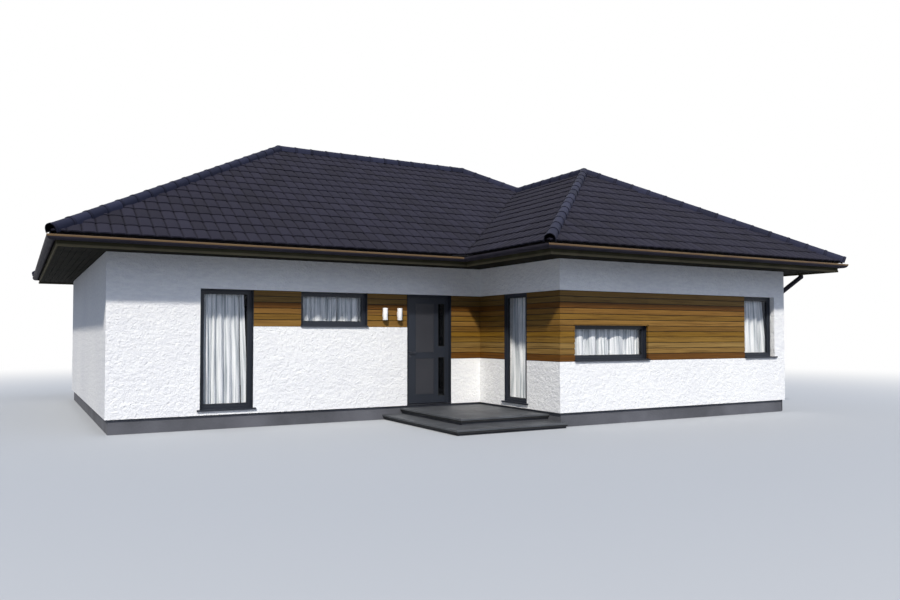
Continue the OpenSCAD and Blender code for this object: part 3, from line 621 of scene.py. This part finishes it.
def knob(name, point):  # the dome where runs of ridge tiles meet
    profile = [(caps["knob"], -caps["skirt"])]
    low, high = caps["knobArc"]
    for k in range(1, caps["knobRings"] + 1):
        angle = math.radians(low + (high - low) * k / caps["knobRings"])
        profile.append((caps["knob"] * math.cos(angle), caps["knob"] * math.sin(angle)))
    rings = []
    for radius, z in profile:
        z = point.z + z - caps["knobSink"]
        rings.append([(point.x + x, point.y + y, z) for x, y in circle(radius, caps["knobSides"])])
    return smooth(solid(name, *loft(rings)))


ends = {
    "left": onTiles(ridgeLeft, halfDepth), "right": onTiles(ridgeRight, halfDepth),
    "saddle": onTiles(saddle, halfWing), "apex": onTiles(apex, halfWing),
}
knobs = [knob("knob" + end, point) for end, point in ends.items()]
for k in (0, 2, 3, 4, 5):
    ends[k] = Vector((*eaves(k), eavesTop))
capRuns = [
    capRun("cap" + str(k), ends[a], ends[b], caps["seed"] + k) for k, (a, b) in enumerate((
        ("left", "right"), ("apex", "saddle"),
        (0, "left"), (2, "apex"), (3, "apex"), (4, "right"), (5, "left"), ("saddle", "right"),
    ))
]
addPiece("ridgeTiles", capRuns[:2] + knobs, "concreteCap", replaces=["ridge_caps"])
addPiece("hipTiles", capRuns[2:], "concreteCap", replaces=["hip_caps"])
print("roof: ridge and hip tiles")


def alongEaves(name, profiles, finish, sides=range(6), replaces=()):
    # profiles are closed rings of (distance out, height), run along each side and mitred at the corners
    parts = []
    for i in sides:
        for profile in profiles:
            parts.append(loft([[(*corner(k, out), z) for out, z in profile] for k in (i, i + 1)]))
    addPiece(name, [solid(name, *joined(parts))], finish, replaces=replaces)


# Boards under the eaves, seven a side, on a dark backing
soffit = {"count": 7, "gap": 0.008, "edge": 0.004, "thickness": 0.014, "backing": 0.003, "clear": 0.001}
soffitFoot = house["floor"] + house["soffit"]
soffitTop = soffitFoot + soffit["thickness"]
boards = []
for k in range(soffit["count"]):
    step, edge = house["fascia"] / soffit["count"], soffit["edge"]
    near, far = k * step + soffit["gap"] / 2, (k + 1) * step - soffit["gap"] / 2
    boards.append([
        (near, soffitTop), (near, soffitFoot + edge), (near + edge, soffitFoot),
        (far - edge, soffitFoot), (far, soffitFoot + edge), (far, soffitTop),
    ])
alongEaves("soffitBoarding", boards, "soffitStain", replaces=["soffit_boards"])
near, far = soffit["clear"], house["fascia"] - soffit["clear"]
foot, top = soffitTop + soffit["clear"], soffitTop + soffit["backing"]
alongEaves(
    "soffitBacking", [[(near, top), (near, foot), (far, foot), (far, top)]], "gasketRubber"
)

# Painted highlight: a warm strip over the rim of the gutters that face front and back, for the sunlit glint
# along them
rim = {
    "centre": 0.852, "z": 3.215, "outer": 0.0775, "inner": 0.0742, "down": 18, "arc": 5,
    "top": ((0.911, 0.0095), (0.9225, 0.0095), (0.928, 0.0055)), "foot": (0.911, 0.003),
}
rimProfile = [(out, rim["z"] + rise) for out, rise in rim["top"]]
for radius, turns in ((rim["outer"], range(rim["arc"] + 1)), (rim["inner"], range(rim["arc"], -1, -1))):
    for k in turns:
        angle = -math.radians(rim["down"]) * k / rim["arc"]
        rimProfile.append((rim["centre"] + radius * math.cos(angle), rim["z"] + radius * math.sin(angle)))
rimProfile.append((rim["foot"][0], rim["z"] + rim["foot"][1]))
alongEaves("gutterRim", [rimProfile], "bronzeCoat", (front, wingFront, back))

# A drip strip along the foot of the fascia boards
drip = {"face": 0.777, "clear": 0.0005, "thickness": 0.008, "foot": 3.052, "top": 3.095, "slope": 0.006}
near, far = drip["face"] + drip["clear"], drip["face"] + drip["thickness"]
alongEaves("dripStrip", [[
    (near, drip["foot"]), (far, drip["foot"]), (far, drip["top"] - drip["slope"]), (near, drip["top"]),
]], "wornStain")
print("eaves")

# Windows in their walls' axes: wall, start, width, foot, top
windows = {
    "tall": (front, 1.54, 0.945, 0.1, 2.25),
    "strip": (front, 3.38, 1.365, 1.61, 2.25),
    "side": (wingSide, 0.95, 0.785, 0.1, 2.25),
    "low": (wingFront, 0.345, 1.835, 0.96, 1.62),
    "corner": (wingFront, 4.92, 0.945, 0.96, 2.25),
    "rightNear": (right, 2.3, 0.945, 0.96, 2.25),
    "rightFar": (right, 7.925, 0.945, 0.96, 2.25),
    "backTall": (back, 1.5, 0.945, 0.1, 2.25),
    "backWide": (back, 4.3, 1.835, 0.96, 2.25),
    "backInner": (back, 8.285, 0.945, 0.1, 2.25),
    "backStrip": (back, 10.665, 1.365, 1.61, 2.25),
}
frames = {
    "recess": 0.11, "depth": 0.07, "border": 0.08, "glass": 0.024, "setback": 0.012,
    # The photograph has the side window's frame nearly flush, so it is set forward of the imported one.
    # What moves lies in its opening, by a margin, and as far in as "inside".
    "forward": {"side": 0.09}, "margin": 0.01, "inside": 0.3,
}


def framed(name, node, finish):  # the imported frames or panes, those of some windows set forward
    mesh = nodes[node].data.copy()
    mesh.transform(nodes[node].matrix_world)
    margin = frames["margin"]
    for window, reach in frames["forward"].items():
        wall, start, width, foot, top = windows[window]
        place = wallPlace(wall)
        inWall = place.inverted()
        for point in mesh.vertices:
            x, y, z = inWall @ point.co
            if (start - margin < x < start + width + margin and 0 < y < frames["inside"]
                    and foot - margin < z < top + margin):
                point.co -= place.col[1].to_3d() * reach
    addPiece(name, [mesh], finish, replaces=[node])


framed("windowFrames", "window_frames", "powderCoat")
framed("windowPanes", "window_glass", "windowGlass")

# Horizontal timber boards, slightly tapered, over a black membrane. Shades from the foot up.
timber = {
    "foot": 0.93, "firstTop": 1.06, "gap": 0.011, "face": 0.01, "slant": 0.006, "back": 0.03,
    "footEdge": (0.002, 0.003), "topEdge": 0.004, "membrane": 0.034, "sheet": 0.003, "spread": 0.09,
    "lining": 0.012, "liningFront": 0.014, "liningEdge": 0.002, "liningFoot": 0.03, "least": 0.035,
    # The dark colour is painted shade, for the sheet seen in the gaps of the reveal boards
    "dark": "#1a1410", "headRow": 6, "seed": 41,
    "shades": [
        "#6b4512", "#8a6c38", "#907440", "#86672b", "#82611e", "#7e5d26",
        "#8b6932", "#7f5f24", "#825f2a", "#684313", "#745b2e", "#74592b",
    ],
}
rowCount = len(timber["shades"])
rowLines = [timber["foot"]] + [
    timber["firstTop"] + (house["head"] - timber["firstTop"]) * k / (rowCount - 1) for k in range(rowCount)
]
# Wall, start, end, the ends' mitres, foot row and its foot, windows that cut it
bands = {
    "boardsLeft": (front, 2.485, 5.615, 0, 0, 6, 1.58, ["strip"]),
    "boardsRight": (front, 6.635, 7.34, 0, 1, 0, 0.93, []),
    "boardsSide": (wingSide, 0.0, 2.79, -1, -1, 0, 0.93, ["side"]),
    "boardsWing": (wingFront, 0.0, 4.92, 1, 0, 0, 0.93, ["low"]),
}
shadeRandom = random.Random(timber["seed"])


def rowPieces(start, end, cuts, low, high):  # what the windows leave of a row: (from, to, foot, top)
    pieces = [(start, end, low, high)]
    for cut in cuts:
        _, begin, width, foot, top = windows[cut]
        kept = []
        for a, b, z0, z1 in pieces:
            kept += [(a, min(b, begin), z0, z1), (max(a, begin + width), b, z0, z1)]
            for c, d in ((z0, min(z1, foot)), (max(z0, top), z1)):
                kept.append((max(a, begin), min(b, begin + width), c, d))
        pieces = [piece for piece in kept if piece[1] > piece[0] and piece[3] - piece[2] > timber["least"]]
    return pieces


def boardProfile(low, high):
    low, high = low + timber["gap"] / 2, high - timber["gap"] / 2
    face, back, edge = timber["face"], timber["back"], timber["topEdge"]
    under, rise = timber["footEdge"]
    return [
        (back, low), (face + under, low), (face, low + rise), (face + timber["slant"], high - edge),
        (face + timber["slant"] + edge, high), (back, high),
    ]


def tintedMesh(wall, name, parts, tints):  # tints holds one colour for each part
    mesh = onWall(wall, name, *joined(parts))
    values = []
    for (points, _), tint in zip(parts, tints):
        values += tint * len(points)
    mesh.color_attributes.new("tint", "FLOAT_COLOR", "POINT").data.foreach_set("color", values)
    return mesh


def rowTint(row):
    glow = 1 + timber["spread"] * (2 * shadeRandom.random() - 1)
    return [min(1, part * glow) for part in linear(timber["shades"][row])[:3]] + [1.0]


def boardBand(name):
    wall, start, end, startMitre, endMitre, firstRow, bandFoot, cuts = bands[name]
    parts, tints, membrane = [], [], []
    near, far = timber["membrane"], timber["membrane"] + timber["sheet"]
    for row in range(firstRow, rowCount):
        rowFoot = bandFoot if row == firstRow else rowLines[row]
        for a, b, low, high in rowPieces(start, end, cuts, rowFoot, rowLines[row + 1]):
            ends = ((a, startMitre if a == start else 0), (b, endMitre if b == end else 0))
            profile = boardProfile(low, high)
            parts.append(loft([[(x + mitre * y, y, z) for y, z in profile] for x, mitre in ends]))
            tints.append(rowTint(row))
            membrane.append(loft([
                [(x + mitre * near, y, z) for y, z in ((near, low), (far, low), (far, high), (near, high))]
                for x, mitre in ends
            ]))
    return tintedMesh(wall, name, parts, tints), onWall(wall, name + "Membrane", *joined(membrane))


def revealBoards(window, side, deep):  # boards turned into a window's left (0) or right (1) side
    wall, start, width, foot, top = windows[window]
    x, inwards = start + side * width, 1 - 2 * side
    foot = max(foot, timber["foot"] + timber["liningFoot"])
    near, edge, sheet = timber["liningFront"], timber["liningEdge"], timber["sheet"]

    def strip(ring, y):  # a ring of (distance from the side, height), run from y to the frame
        return loft([[(x + inwards * out, depth, z) for out, z in ring] for depth in (y, deep)])

    parts, tints = [], []
    for row in range(rowCount):
        low, high = max(rowLines[row], foot), min(rowLines[row + 1], top)
        if high - low < timber["least"]:
            continue
        low, high = low + timber["gap"] / 2, high - timber["gap"] / 2
        ring = [(0, low), (timber["lining"], low + edge), (timber["lining"], high - edge), (0, high)]
        parts.append(strip(ring, near))
        tints.append(rowTint(row))
    # A dark sheet behind the boards: painted shade seen in their gaps
    parts.append(strip([(0, foot), (sheet, foot), (sheet, top), (0, top)], near + edge))
    tints.append(linear(timber["dark"]))
    return tintedMesh(wall, window + "Reveal", parts, tints)


lowLining = 0.062  # where the low window's right reveal turns from timber to anthracite
bandMeshes = {name: boardBand(name) for name in bands}
reveals = [
    revealBoards(window, side, deep) for window, side, deep in (
        ("strip", 0, frames["recess"]), ("side", 1, frames["recess"] - frames["forward"]["side"]),
        ("low", 0, frames["recess"]), ("low", 1, lowLining), ("corner", 0, frames["recess"]),
    )
]
_, start, width, _, top = windows["low"]
near, far, foot = timber["liningFront"], frames["recess"], top - timber["lining"]
headBoard = tintedMesh(wingFront, "revealHead", [loft([
    [(x, y, z) for y, z in ((near, top), (near, foot), (far, foot), (far, top))]
    for x in (start + timber["lining"], start + width - timber["lining"])
])], [rowTint(timber["headRow"])])
for name, bandNames, node in (
    ("frontBoards", ("boardsLeft", "boardsRight"), "front_boarding"),
    ("wingSideBoards", ("boardsSide",), "wing_side_boarding"),
    ("wingFrontBoards", ("boardsWing",), "wing_front_boarding"),
):
    meshes = [bandMeshes[band][0] for band in bandNames]
    addPiece(name, meshes, "oiledLarch", replaces=[node])
addPiece("revealBoards", reveals + [headBoard], "oiledLarch")
addPiece("boardMembrane", [pair[1] for pair in bandMeshes.values()], "gasketRubber")
print("timber boards")


def ringFrame(lo, hi, width, y0, y1):  # a flat rectangular ring in wall axes, lo and hi are (x, z)
    rings = []
    for inset, y in ((0, y0), (0, y1), (width, y1), (width, y0)):
        x0, z0, x1, z1 = lo[0] + inset, lo[1] + inset, hi[0] - inset, hi[1] - inset
        rings.append([(x0, y, z0), (x1, y, z0), (x1, y, z1), (x0, y, z1)])
    return loft(rings, capped=False, looped=True)


# Rubber seals round the panes, on both faces
seals = {"width": 0.006, "proud": 0.003}
sealMeshes = []
for name, (wall, start, width, foot, top) in windows.items():
    middle = frames["recess"] + frames["setback"] + (frames["depth"] - frames["setback"]) / 2
    middle -= frames["forward"].get(name, 0)
    lo = (start + frames["border"], foot + frames["border"])
    hi = (start + width - frames["border"], top - frames["border"])
    for side in (-1, 1):
        near = middle + side * frames["glass"] / 2
        y0, y1 = sorted((near, near + side * seals["proud"]))
        sealMeshes.append(onWall(wall, "seal", *ringFrame(lo, hi, seals["width"], y0, y1)))
addPiece("windowSeals", sealMeshes, "gasketRubber")


def block(lo, hi, edge, place=None):  # a box with rounded edges
    shape = bmesh.new()
    bmesh.ops.create_cube(shape, size=1.0)
    for vert in shape.verts:
        vert.co = Vector([lo[k] + (vert.co[k] + 0.5) * (hi[k] - lo[k]) for k in range(3)])
    bmesh.ops.bevel(shape, geom=shape.edges[:], offset=edge, segments=2, profile=0.5, affect="EDGES")
    mesh = bpy.data.meshes.new("block")
    shape.to_mesh(mesh)
    shape.free()
    if place:
        mesh.transform(place)
    return mesh


# Anthracite sheet round the door's opening, over the tall window and down one side of four windows.
# For each sheet at a window: which edge it lines, how far back it starts, and its thickness.
lining = {
    "edge": 0.001, "sheet": 0.004, "door": (5.615, 6.635), "doorFront": -0.004, "doorFoot": 0.017,
    "windows": (
        ("tall", "right", 0.0, 0.004), ("tall", "top", 0.002, 0.004), ("strip", "right", 0.012, 0.004),
        ("side", "left", 0.003, 0.004), ("low", "right", lowLining, 0.006),
    ),
}
(x0, x1), sheet, y, head = lining["door"], lining["sheet"], lining["doorFront"], house["head"]
linings = []
for a, b, foot in (
    (x0, x0 + sheet, lining["doorFoot"]), (x1 - sheet, x1, lining["doorFoot"]),
    (x0 + sheet, x1 - sheet, head - sheet),
):
    linings.append(block((a, y, foot), (b, frames["recess"], head), lining["edge"], wallPlace(front)))
for name, edge, y, sheet in lining["windows"]:
    wall, start, width, foot, top = windows[name]
    end = start + width
    x0, x1, z = {
        "left": (start, start + sheet, foot), "right": (end - sheet, end, foot),
        "top": (start, end - sheet, top - sheet),
    }[edge]
    deep = frames["recess"] - frames["forward"].get(name, 0)
    linings.append(block((x0, y, z), (x1, deep, top), lining["edge"], wallPlace(wall)))
addPiece("openingLinings", linings, "powderCoat")
print("windows")

# Two voile curtains a window: window, edges at the rail and at the foot in shares of the opening, which
# way a flat leading edge is turned (0 for none), and its folds as (share of its width, how far they stand)
curtains = {
    "rail": 0.25, "topSwing": 0.024, "footSwing": 0.056, "flare": 0.6, "crown": 0.75, "turnFall": 2.2,
    "slant": 0.012, "ripple": 0.002, "rippleDown": 5, "rippleAlong": 40, "drop": 0.052, "foot": 0.008,
    "along": 8, "down": 22, "seed": 60,
    "hung": {
        "tallWide": ("tall", (0.005, 0.785), (0.005, 0.835), 0, [
            (0.15, 0.9), (0.11, 1.0), (0.06, 0.35), (0.11, 0.9), (0.19, 1.0), (0.19, 0.85), (0.19, 0.95),
        ]),
        "tallNarrow": ("tall", (0.797, 0.865), (0.85, 0.955), 1, []),
        "stripLeft": ("strip", (0.005, 0.608), (0.005, 0.605), 0, [
            (0.14, 0.8), (0.18, 1.0), (0.05, 0.3), (0.3, 1.0), (0.07, 0.6), (0.07, 0.35), (0.05, 0.05),
            (0.14, 0.75),
        ]),
        "stripRight": ("strip", (0.614, 0.985), (0.62, 0.985), 1, [
            (0.17, 0.0), (0.3, 0.7), (0.06, 0.1), (0.37, 0.9), (0.1, 0.5),
        ]),
        "sideNarrow": ("side", (0.052, 0.1), (0.005, 0.098), -1.8, []),
        "sideWide": ("side", (0.112, 0.995), (0.11, 0.995), 0, [
            (0.13, 0.6), (0.16, 1.0), (0.15, 0.8), (0.18, 1.0), (0.17, 0.9), (0.21, 0.8),
        ]),
        "lowLeft": ("low", (0.005, 0.4), (0.005, 0.4), 0, [
            (0.25, 0.8), (0.33, 1.0), (0.09, 0.3), (0.33, 0.9),
        ]),
        "lowRight": ("low", (0.405, 0.995), (0.409, 0.995), 1, [
            (0.09, 0.0), (0.16, 0.7), (0.025, 0.1), (0.35, 1.0), (0.06, 0.3), (0.22, 0.9), (0.095, 0.6),
        ]),
        "cornerWide": ("corner", (0.005, 0.775), (0.005, 0.835), 0, [
            (0.2, 0.9), (0.2, 0.9), (0.21, 1.0), (0.04, 0.3), (0.31, 1.0), (0.04, 0.2),
        ]),
        "cornerNarrow": ("corner", (0.787, 0.85), (0.85, 0.97), 1, []),
    },
}

# The windows of the hidden sides have one curtain each, drawn across, with folds of uneven width and depth
plainWindows = ("rightNear", "rightFar", "backTall", "backWide", "backInner", "backStrip")
plain = {"fold": 0.13, "widths": (0.7, 1.3), "depths": (0.5, 1.0), "edges": (0.005, 0.995), "seed": 7}
foldRandom = random.Random(plain["seed"])
for window in plainWindows:
    count = round(windows[window][2] / plain["fold"])
    folds = [
        (foldRandom.uniform(*plain["widths"]), foldRandom.uniform(*plain["depths"])) for _ in range(count)
    ]
    curtains["hung"][window] = (window, plain["edges"], plain["edges"], 0, folds)


def foldLine(turn, folds, chance):  # one cross-section: (share of the width, depth from -1 to 1, slant)
    line = []
    place = 0.0
    steps = curtains["along"]
    for k, (width, swell) in enumerate(folds or [(1.0, 0.0)]):
        slant = chance.uniform(-curtains["slant"], curtains["slant"])
        for t in range(steps + (k == max(len(folds), 1) - 1)):
            t = t / steps
            if k == 0 and turn:  # the flat leading edge slants across the rail's line
                depth = (1 - (curtains["turnFall"] if folds else 2) * t) * turn
            else:
                depth = 1 - 2 * swell * math.sin(math.pi * t) ** curtains["crown"]
            line.append((place + width * t, depth, slant))
        place += width
    return [(share / place, depth, slant) for share, depth, slant in line]


def curtain(name, seed):
    window, atRail, atFoot, turn, folds = curtains["hung"][name]
    wall, start, width, foot, top = windows[window]
    line = foldLine(turn, folds, random.Random(seed))
    high, low = top - curtains["drop"], foot + curtains["foot"]
    swing, widening = curtains["topSwing"], curtains["footSwing"] - curtains["topSwing"]
    points = []
    for r in range(curtains["down"] + 1):
        down = r / curtains["down"]
        deep = swing + widening * down ** curtains["flare"]
        a, b = (start + width * (atRail[side] + (atFoot[side] - atRail[side]) * down) for side in (0, 1))
        for share, depth, slant in line:
            x = a + (b - a) * min(1, max(0, share + slant * down * math.sin(math.pi * share)))
            phase = curtains["rippleDown"] * down + curtains["rippleAlong"] * slant * share
            ripple = curtains["ripple"] * math.sin(phase)
            points.append((x, curtains["rail"] + deep * depth + ripple, high + (low - high) * down))
    n = len(line)
    faces = []
    for r in range(curtains["down"]):
        for k in range(n - 1):
            faces.append((r * n + k, (r + 1) * n + k, (r + 1) * n + k + 1, r * n + k + 1))
    lengths = [0.0]
    middle = curtains["down"] // 2 * n
    for k in range(middle, middle + n - 1):
        lengths.append(lengths[-1] + (Vector(points[k + 1]) - Vector(points[k])).length)
    mesh = newMesh(name, points, faces)
    layer = mesh.uv_layers.new(name="cloth")
    for face in mesh.polygons:
        for loop, vert in zip(face.loop_indices, face.vertices):
            layer.data[loop].uv = (lengths[vert % n], points[vert][2] - low)
    smooth(mesh).transform(wallPlace(wall))
    return mesh, (lengths[-1], high - low)


rails = {"radius": 0.01, "drop": 0.04, "sides": 16}
railMeshes = []
for window in plainWindows:
    wall, start, width, foot, top = windows[window]
    ring = circle(rails["radius"], rails["sides"])
    railMeshes.append(onWall(wall, "rail", *loft([
        [(x, curtains["rail"] + y, top - rails["drop"] + z) for y, z in ring] for x in (start, start + width)
    ])))
addPiece("hiddenRails", railMeshes, "railMetal")
for k, name in enumerate(curtains["hung"]):
    mesh, flat = curtain(name, curtains["seed"] + k)
    piece = addPiece(name + "Curtain", [mesh], "polyesterVoile")
    if name in plainWindows:
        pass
    else:
        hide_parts("curtains")
print("curtains")

# Door: panel sheets in the leaf's recesses, seals round its glass strips, a lock under the lever
door = {
    "leaf": (0.126, 0.194), "glass": (0.148, 0.172), "panelX": (5.868, 6.298), "panelDepth": 0.008,
    "panels": ((0.202, 0.942), (1.062, 2.075)), "shadow": 0.006, "sheet": 0.005, "sheetEdge": 0.0015,
    "stripX": (6.395, 6.545), "strips": ((0.165, 0.962), (1.188, 2.075)), "seal": 0.005, "sealProud": 0.002,
    "lock": (5.733, 0.98),
    "rose": [(0.026, 0), (0.026, 0.006), (0.024, 0.008), (0.012, 0.008)],
    "barrel": [(0.0085, 0.004), (0.0085, 0.012), (0.0075, 0.013)],
}
panelMeshes, stripMeshes = [], []
sides = list(zip((1, -1), door["leaf"], door["glass"]))
(x0, x1), shadow = door["panelX"], door["shadow"]
for foot, top in door["panels"]:
    for sign, leaf, _ in sides:
        recess = leaf + sign * door["panelDepth"]
        y0, y1 = sorted((recess, recess - sign * door["sheet"]))
        lo, hi = (x0 + shadow, y0, foot + shadow), (x1 - shadow, y1, top - shadow)
        panelMeshes.append(block(lo, hi, door["sheetEdge"], wallPlace(front)))
(x0, x1), proud = door["stripX"], door["sealProud"]
for foot, top in door["strips"]:
    for sign, leaf, glass in sides:
        y0, y1 = sorted((leaf - sign * proud, glass))
        ring = ringFrame((x0, foot), (x1, top), door["seal"], y0, y1)
        stripMeshes.append(onWall(front, "stripSeal", *ring))
addPiece("doorPanels", panelMeshes, "panelCoat", "door")
addPiece("doorStripSeals", stripMeshes, "gasketRubber", "door")


turning = {"sides": 40, "sharp": 35}


def turned(name, profile, place):  # a profile of (radius, height) turned round its axis
    rings = [[(x, y, z) for x, y in circle(radius, turning["sides"])] for radius, z in profile]
    mesh = smooth(solid(name, *loft(rings)), turning["sharp"])
    mesh.transform(place)
    return mesh


lockPlace = wallPlace(front) @ Matrix.Translation((door["lock"][0], door["leaf"][0], door["lock"][1]))
lockPlace = lockPlace @ Matrix.Rotation(math.pi / 2, 4, "X")
lockMeshes = [turned("lockRose", door["rose"], lockPlace), turned("lockBarrel", door["barrel"], lockPlace)]
addPiece("doorLock", lockMeshes, "handleSteel", "door")
print("door")

# Entrance steps: a stone tread over a black carrier, set back a little
steps = {"tread": 0.032, "inset": 0.012, "edge": 0.003, "carrierEdge": 0.001}
treadMeshes, carrierMeshes = [], []
for node in ("step_upper", "step_lower"):
    lo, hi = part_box(node)
    treadFoot = hi.z - steps["tread"]
    treadMeshes.append(block((lo.x, lo.y, treadFoot), hi, steps["edge"]))
    carrier = (lo.x + steps["inset"], lo.y + steps["inset"], lo.z)
    carrierMeshes.append(block(carrier, (hi.x, hi.y, treadFoot), steps["carrierEdge"]))
addPiece("stepTreads", treadMeshes, "basaltSlab", replaces=["step_upper", "step_lower"])
addPiece("stepCarriers", carrierMeshes, "gasketRubber")

# Wall lights: a tube with a lens set in each end, on a plate. Rims are (in from the side, in from the end).
lamps = {
    "x": (5.1, 5.42), "z": 1.842, "radius": 0.05, "length": 0.24, "out": -0.06, "edge": 0.003,
    "tubeRim": [(0.006, 0.014), (0.006, 0.001), (0.004, 0), (0.001, 0), (0, 0.002)],
    "lensRim": [(0.007, 0.008), (0.007, 0.014)],
    "plate": ((-0.03, 0.062, -0.05), (0.03, 0.071, 0.05)),
    "arm": ((-0.018, 0.04, -0.02), (0.018, 0.066, 0.02)),
}


def rimmed(name, ends, place):  # a cylinder with the same rim at both ends
    half, radius = lamps["length"] / 2, lamps["radius"]
    profile = [(radius - side, -half + end) for side, end in ends]
    profile += [(radius - side, half - end) for side, end in reversed(ends)]
    return turned(name, profile, place)


lampMeshes, lensMeshes = [], []
for x in lamps["x"]:
    place = wallPlace(front) @ Matrix.Translation((x, lamps["out"], lamps["z"]))
    lampMeshes.append(rimmed("lampTube", lamps["tubeRim"], place))
    lensMeshes.append(rimmed("lampLens", lamps["lensRim"], place))
    lampMeshes += [block(*lamps[part], lamps["edge"], place) for part in ("plate", "arm")]
addPiece("wallLightBodies", lampMeshes, "lampCoat", replaces=["wall_lights"])
addPiece("wallLightLenses", lensMeshes, "railMetal")
print("steps and lights")

# Camera, solved from the photograph's corners
view = {
    "place": (-8.094, -16.919, 1.673), "tilt": 91.66, "turn": -29.34, "lens": 30.99, "sensor": 36,
    "shift": 0.0146, "reach": 500,
}
camera = newObject("camera", bpy.data.cameras.new("camera"))
camera.location = view["place"]
camera.rotation_euler = (math.radians(view["tilt"]), 0, math.radians(view["turn"]))
camera.data.sensor_width = view["sensor"]
camera.data.lens = view["lens"]
camera.data.shift_y = view["shift"]
camera.data.clip_end = view["reach"]
bpy.context.scene.camera = camera

# A soft warm key from the front left, a broad cool lamp from the front right, and a bluish fill all round.
# Each lamp's direction, power, angle and colour. The pale floor turns white from 10 to 30 m out.
light = {
    "key": ((0.667, 0.98, -1), 3.36, 3, "#fffaf2"),
    "sky": ((-0.35, 1, -0.9), 1.05, 80, "#d9e1f2"),
    "fill": 0.4, "fillColour": "#bcd2fa", "floor": "#b6b9bc", "floorBounce": "#75787d",
    "floorReach": 150, "whiteFrom": 10.0, "whiteTo": 30.0,
}
for name in ("key", "sky"):
    toward, power, angle, colour = light[name]
    lamp = newObject(name, bpy.data.lights.new(name, "SUN"))
    lamp.rotation_euler = Vector(toward).to_track_quat("-Z", "Y").to_euler()
    lamp.data.energy = power
    lamp.data.angle = math.radians(angle)
    lamp.data.color = linear(colour)[:3]


def seenRays(tree):  # 1 for camera, mirror and glass rays
    path = tree.nodes.new("ShaderNodeLightPath").outputs
    rays = addNode(tree, "Math", {0: path["Is Camera Ray"], 1: path["Is Glossy Ray"]}, operation="MAXIMUM")
    return addNode(tree, "Math", {0: rays, 1: path["Is Transmission Ray"]}, operation="MAXIMUM")


# The world lights the house with the fill, and shows white
world = bpy.context.scene.world = bpy.data.worlds.new("studio")
world.use_nodes = True
tree = world.node_tree
tree.nodes.clear()
fill = addNode(tree, "Background", {"Color": linear(light["fillColour"]), "Strength": light["fill"]})
white = addNode(tree, "Background", {"Color": (1, 1, 1, 1), "Strength": 1.0})
mixed = addNode(tree, "MixShader", {0: seenRays(tree), 1: fill, 2: white})
addNode(tree, "OutputWorld", {"Surface": mixed})

# The floor looks pale, throws less light up than it looks, and glows white far off
reach = light["floorReach"]
floorCorners = [(x * reach, y * reach, 0) for x, y in ((-1, -1), (1, -1), (1, 1), (-1, 1))]
floor = newObject("studioFloor", newMesh("studioFloor", floorCorners, [(0, 1, 2, 3)]))
tree, shader = newMaterial("studioFloor", light["floor"], {"Roughness": 0.9})
place = addNode(tree, "TexCoord").outputs["Object"]
distance = addNode(tree, "VectorMath", {0: place}, operation="LENGTH").outputs["Value"]
fade = {"Value": distance, "From Min": light["whiteFrom"], "From Max": light["whiteTo"]}
far = addNode(tree, "MapRange", fade, interpolation_type="SMOOTHSTEP")
seen = seenRays(tree)
paint = {0: seen, 6: linear(light["floorBounce"]), 7: linear(light["floor"])}
setInputs(shader, {"Base Color": addNode(tree, "Mix", paint, data_type="RGBA").outputs[2]})
share = addNode(tree, "Math", {0: far, 1: seen}, operation="MULTIPLY")
glow = addNode(tree, "Emission", {"Color": (1, 1, 1, 1), "Strength": 1.0})
mixed = addNode(tree, "MixShader", {0: share, 1: shader, 2: glow})
setInputs(tree.nodes["Material Output"], {"Surface": mixed})
floor.data.materials.append(materials["studioFloor"])
bpy.context.scene.view_settings.view_transform = "Standard"
print("camera, lights and floor")
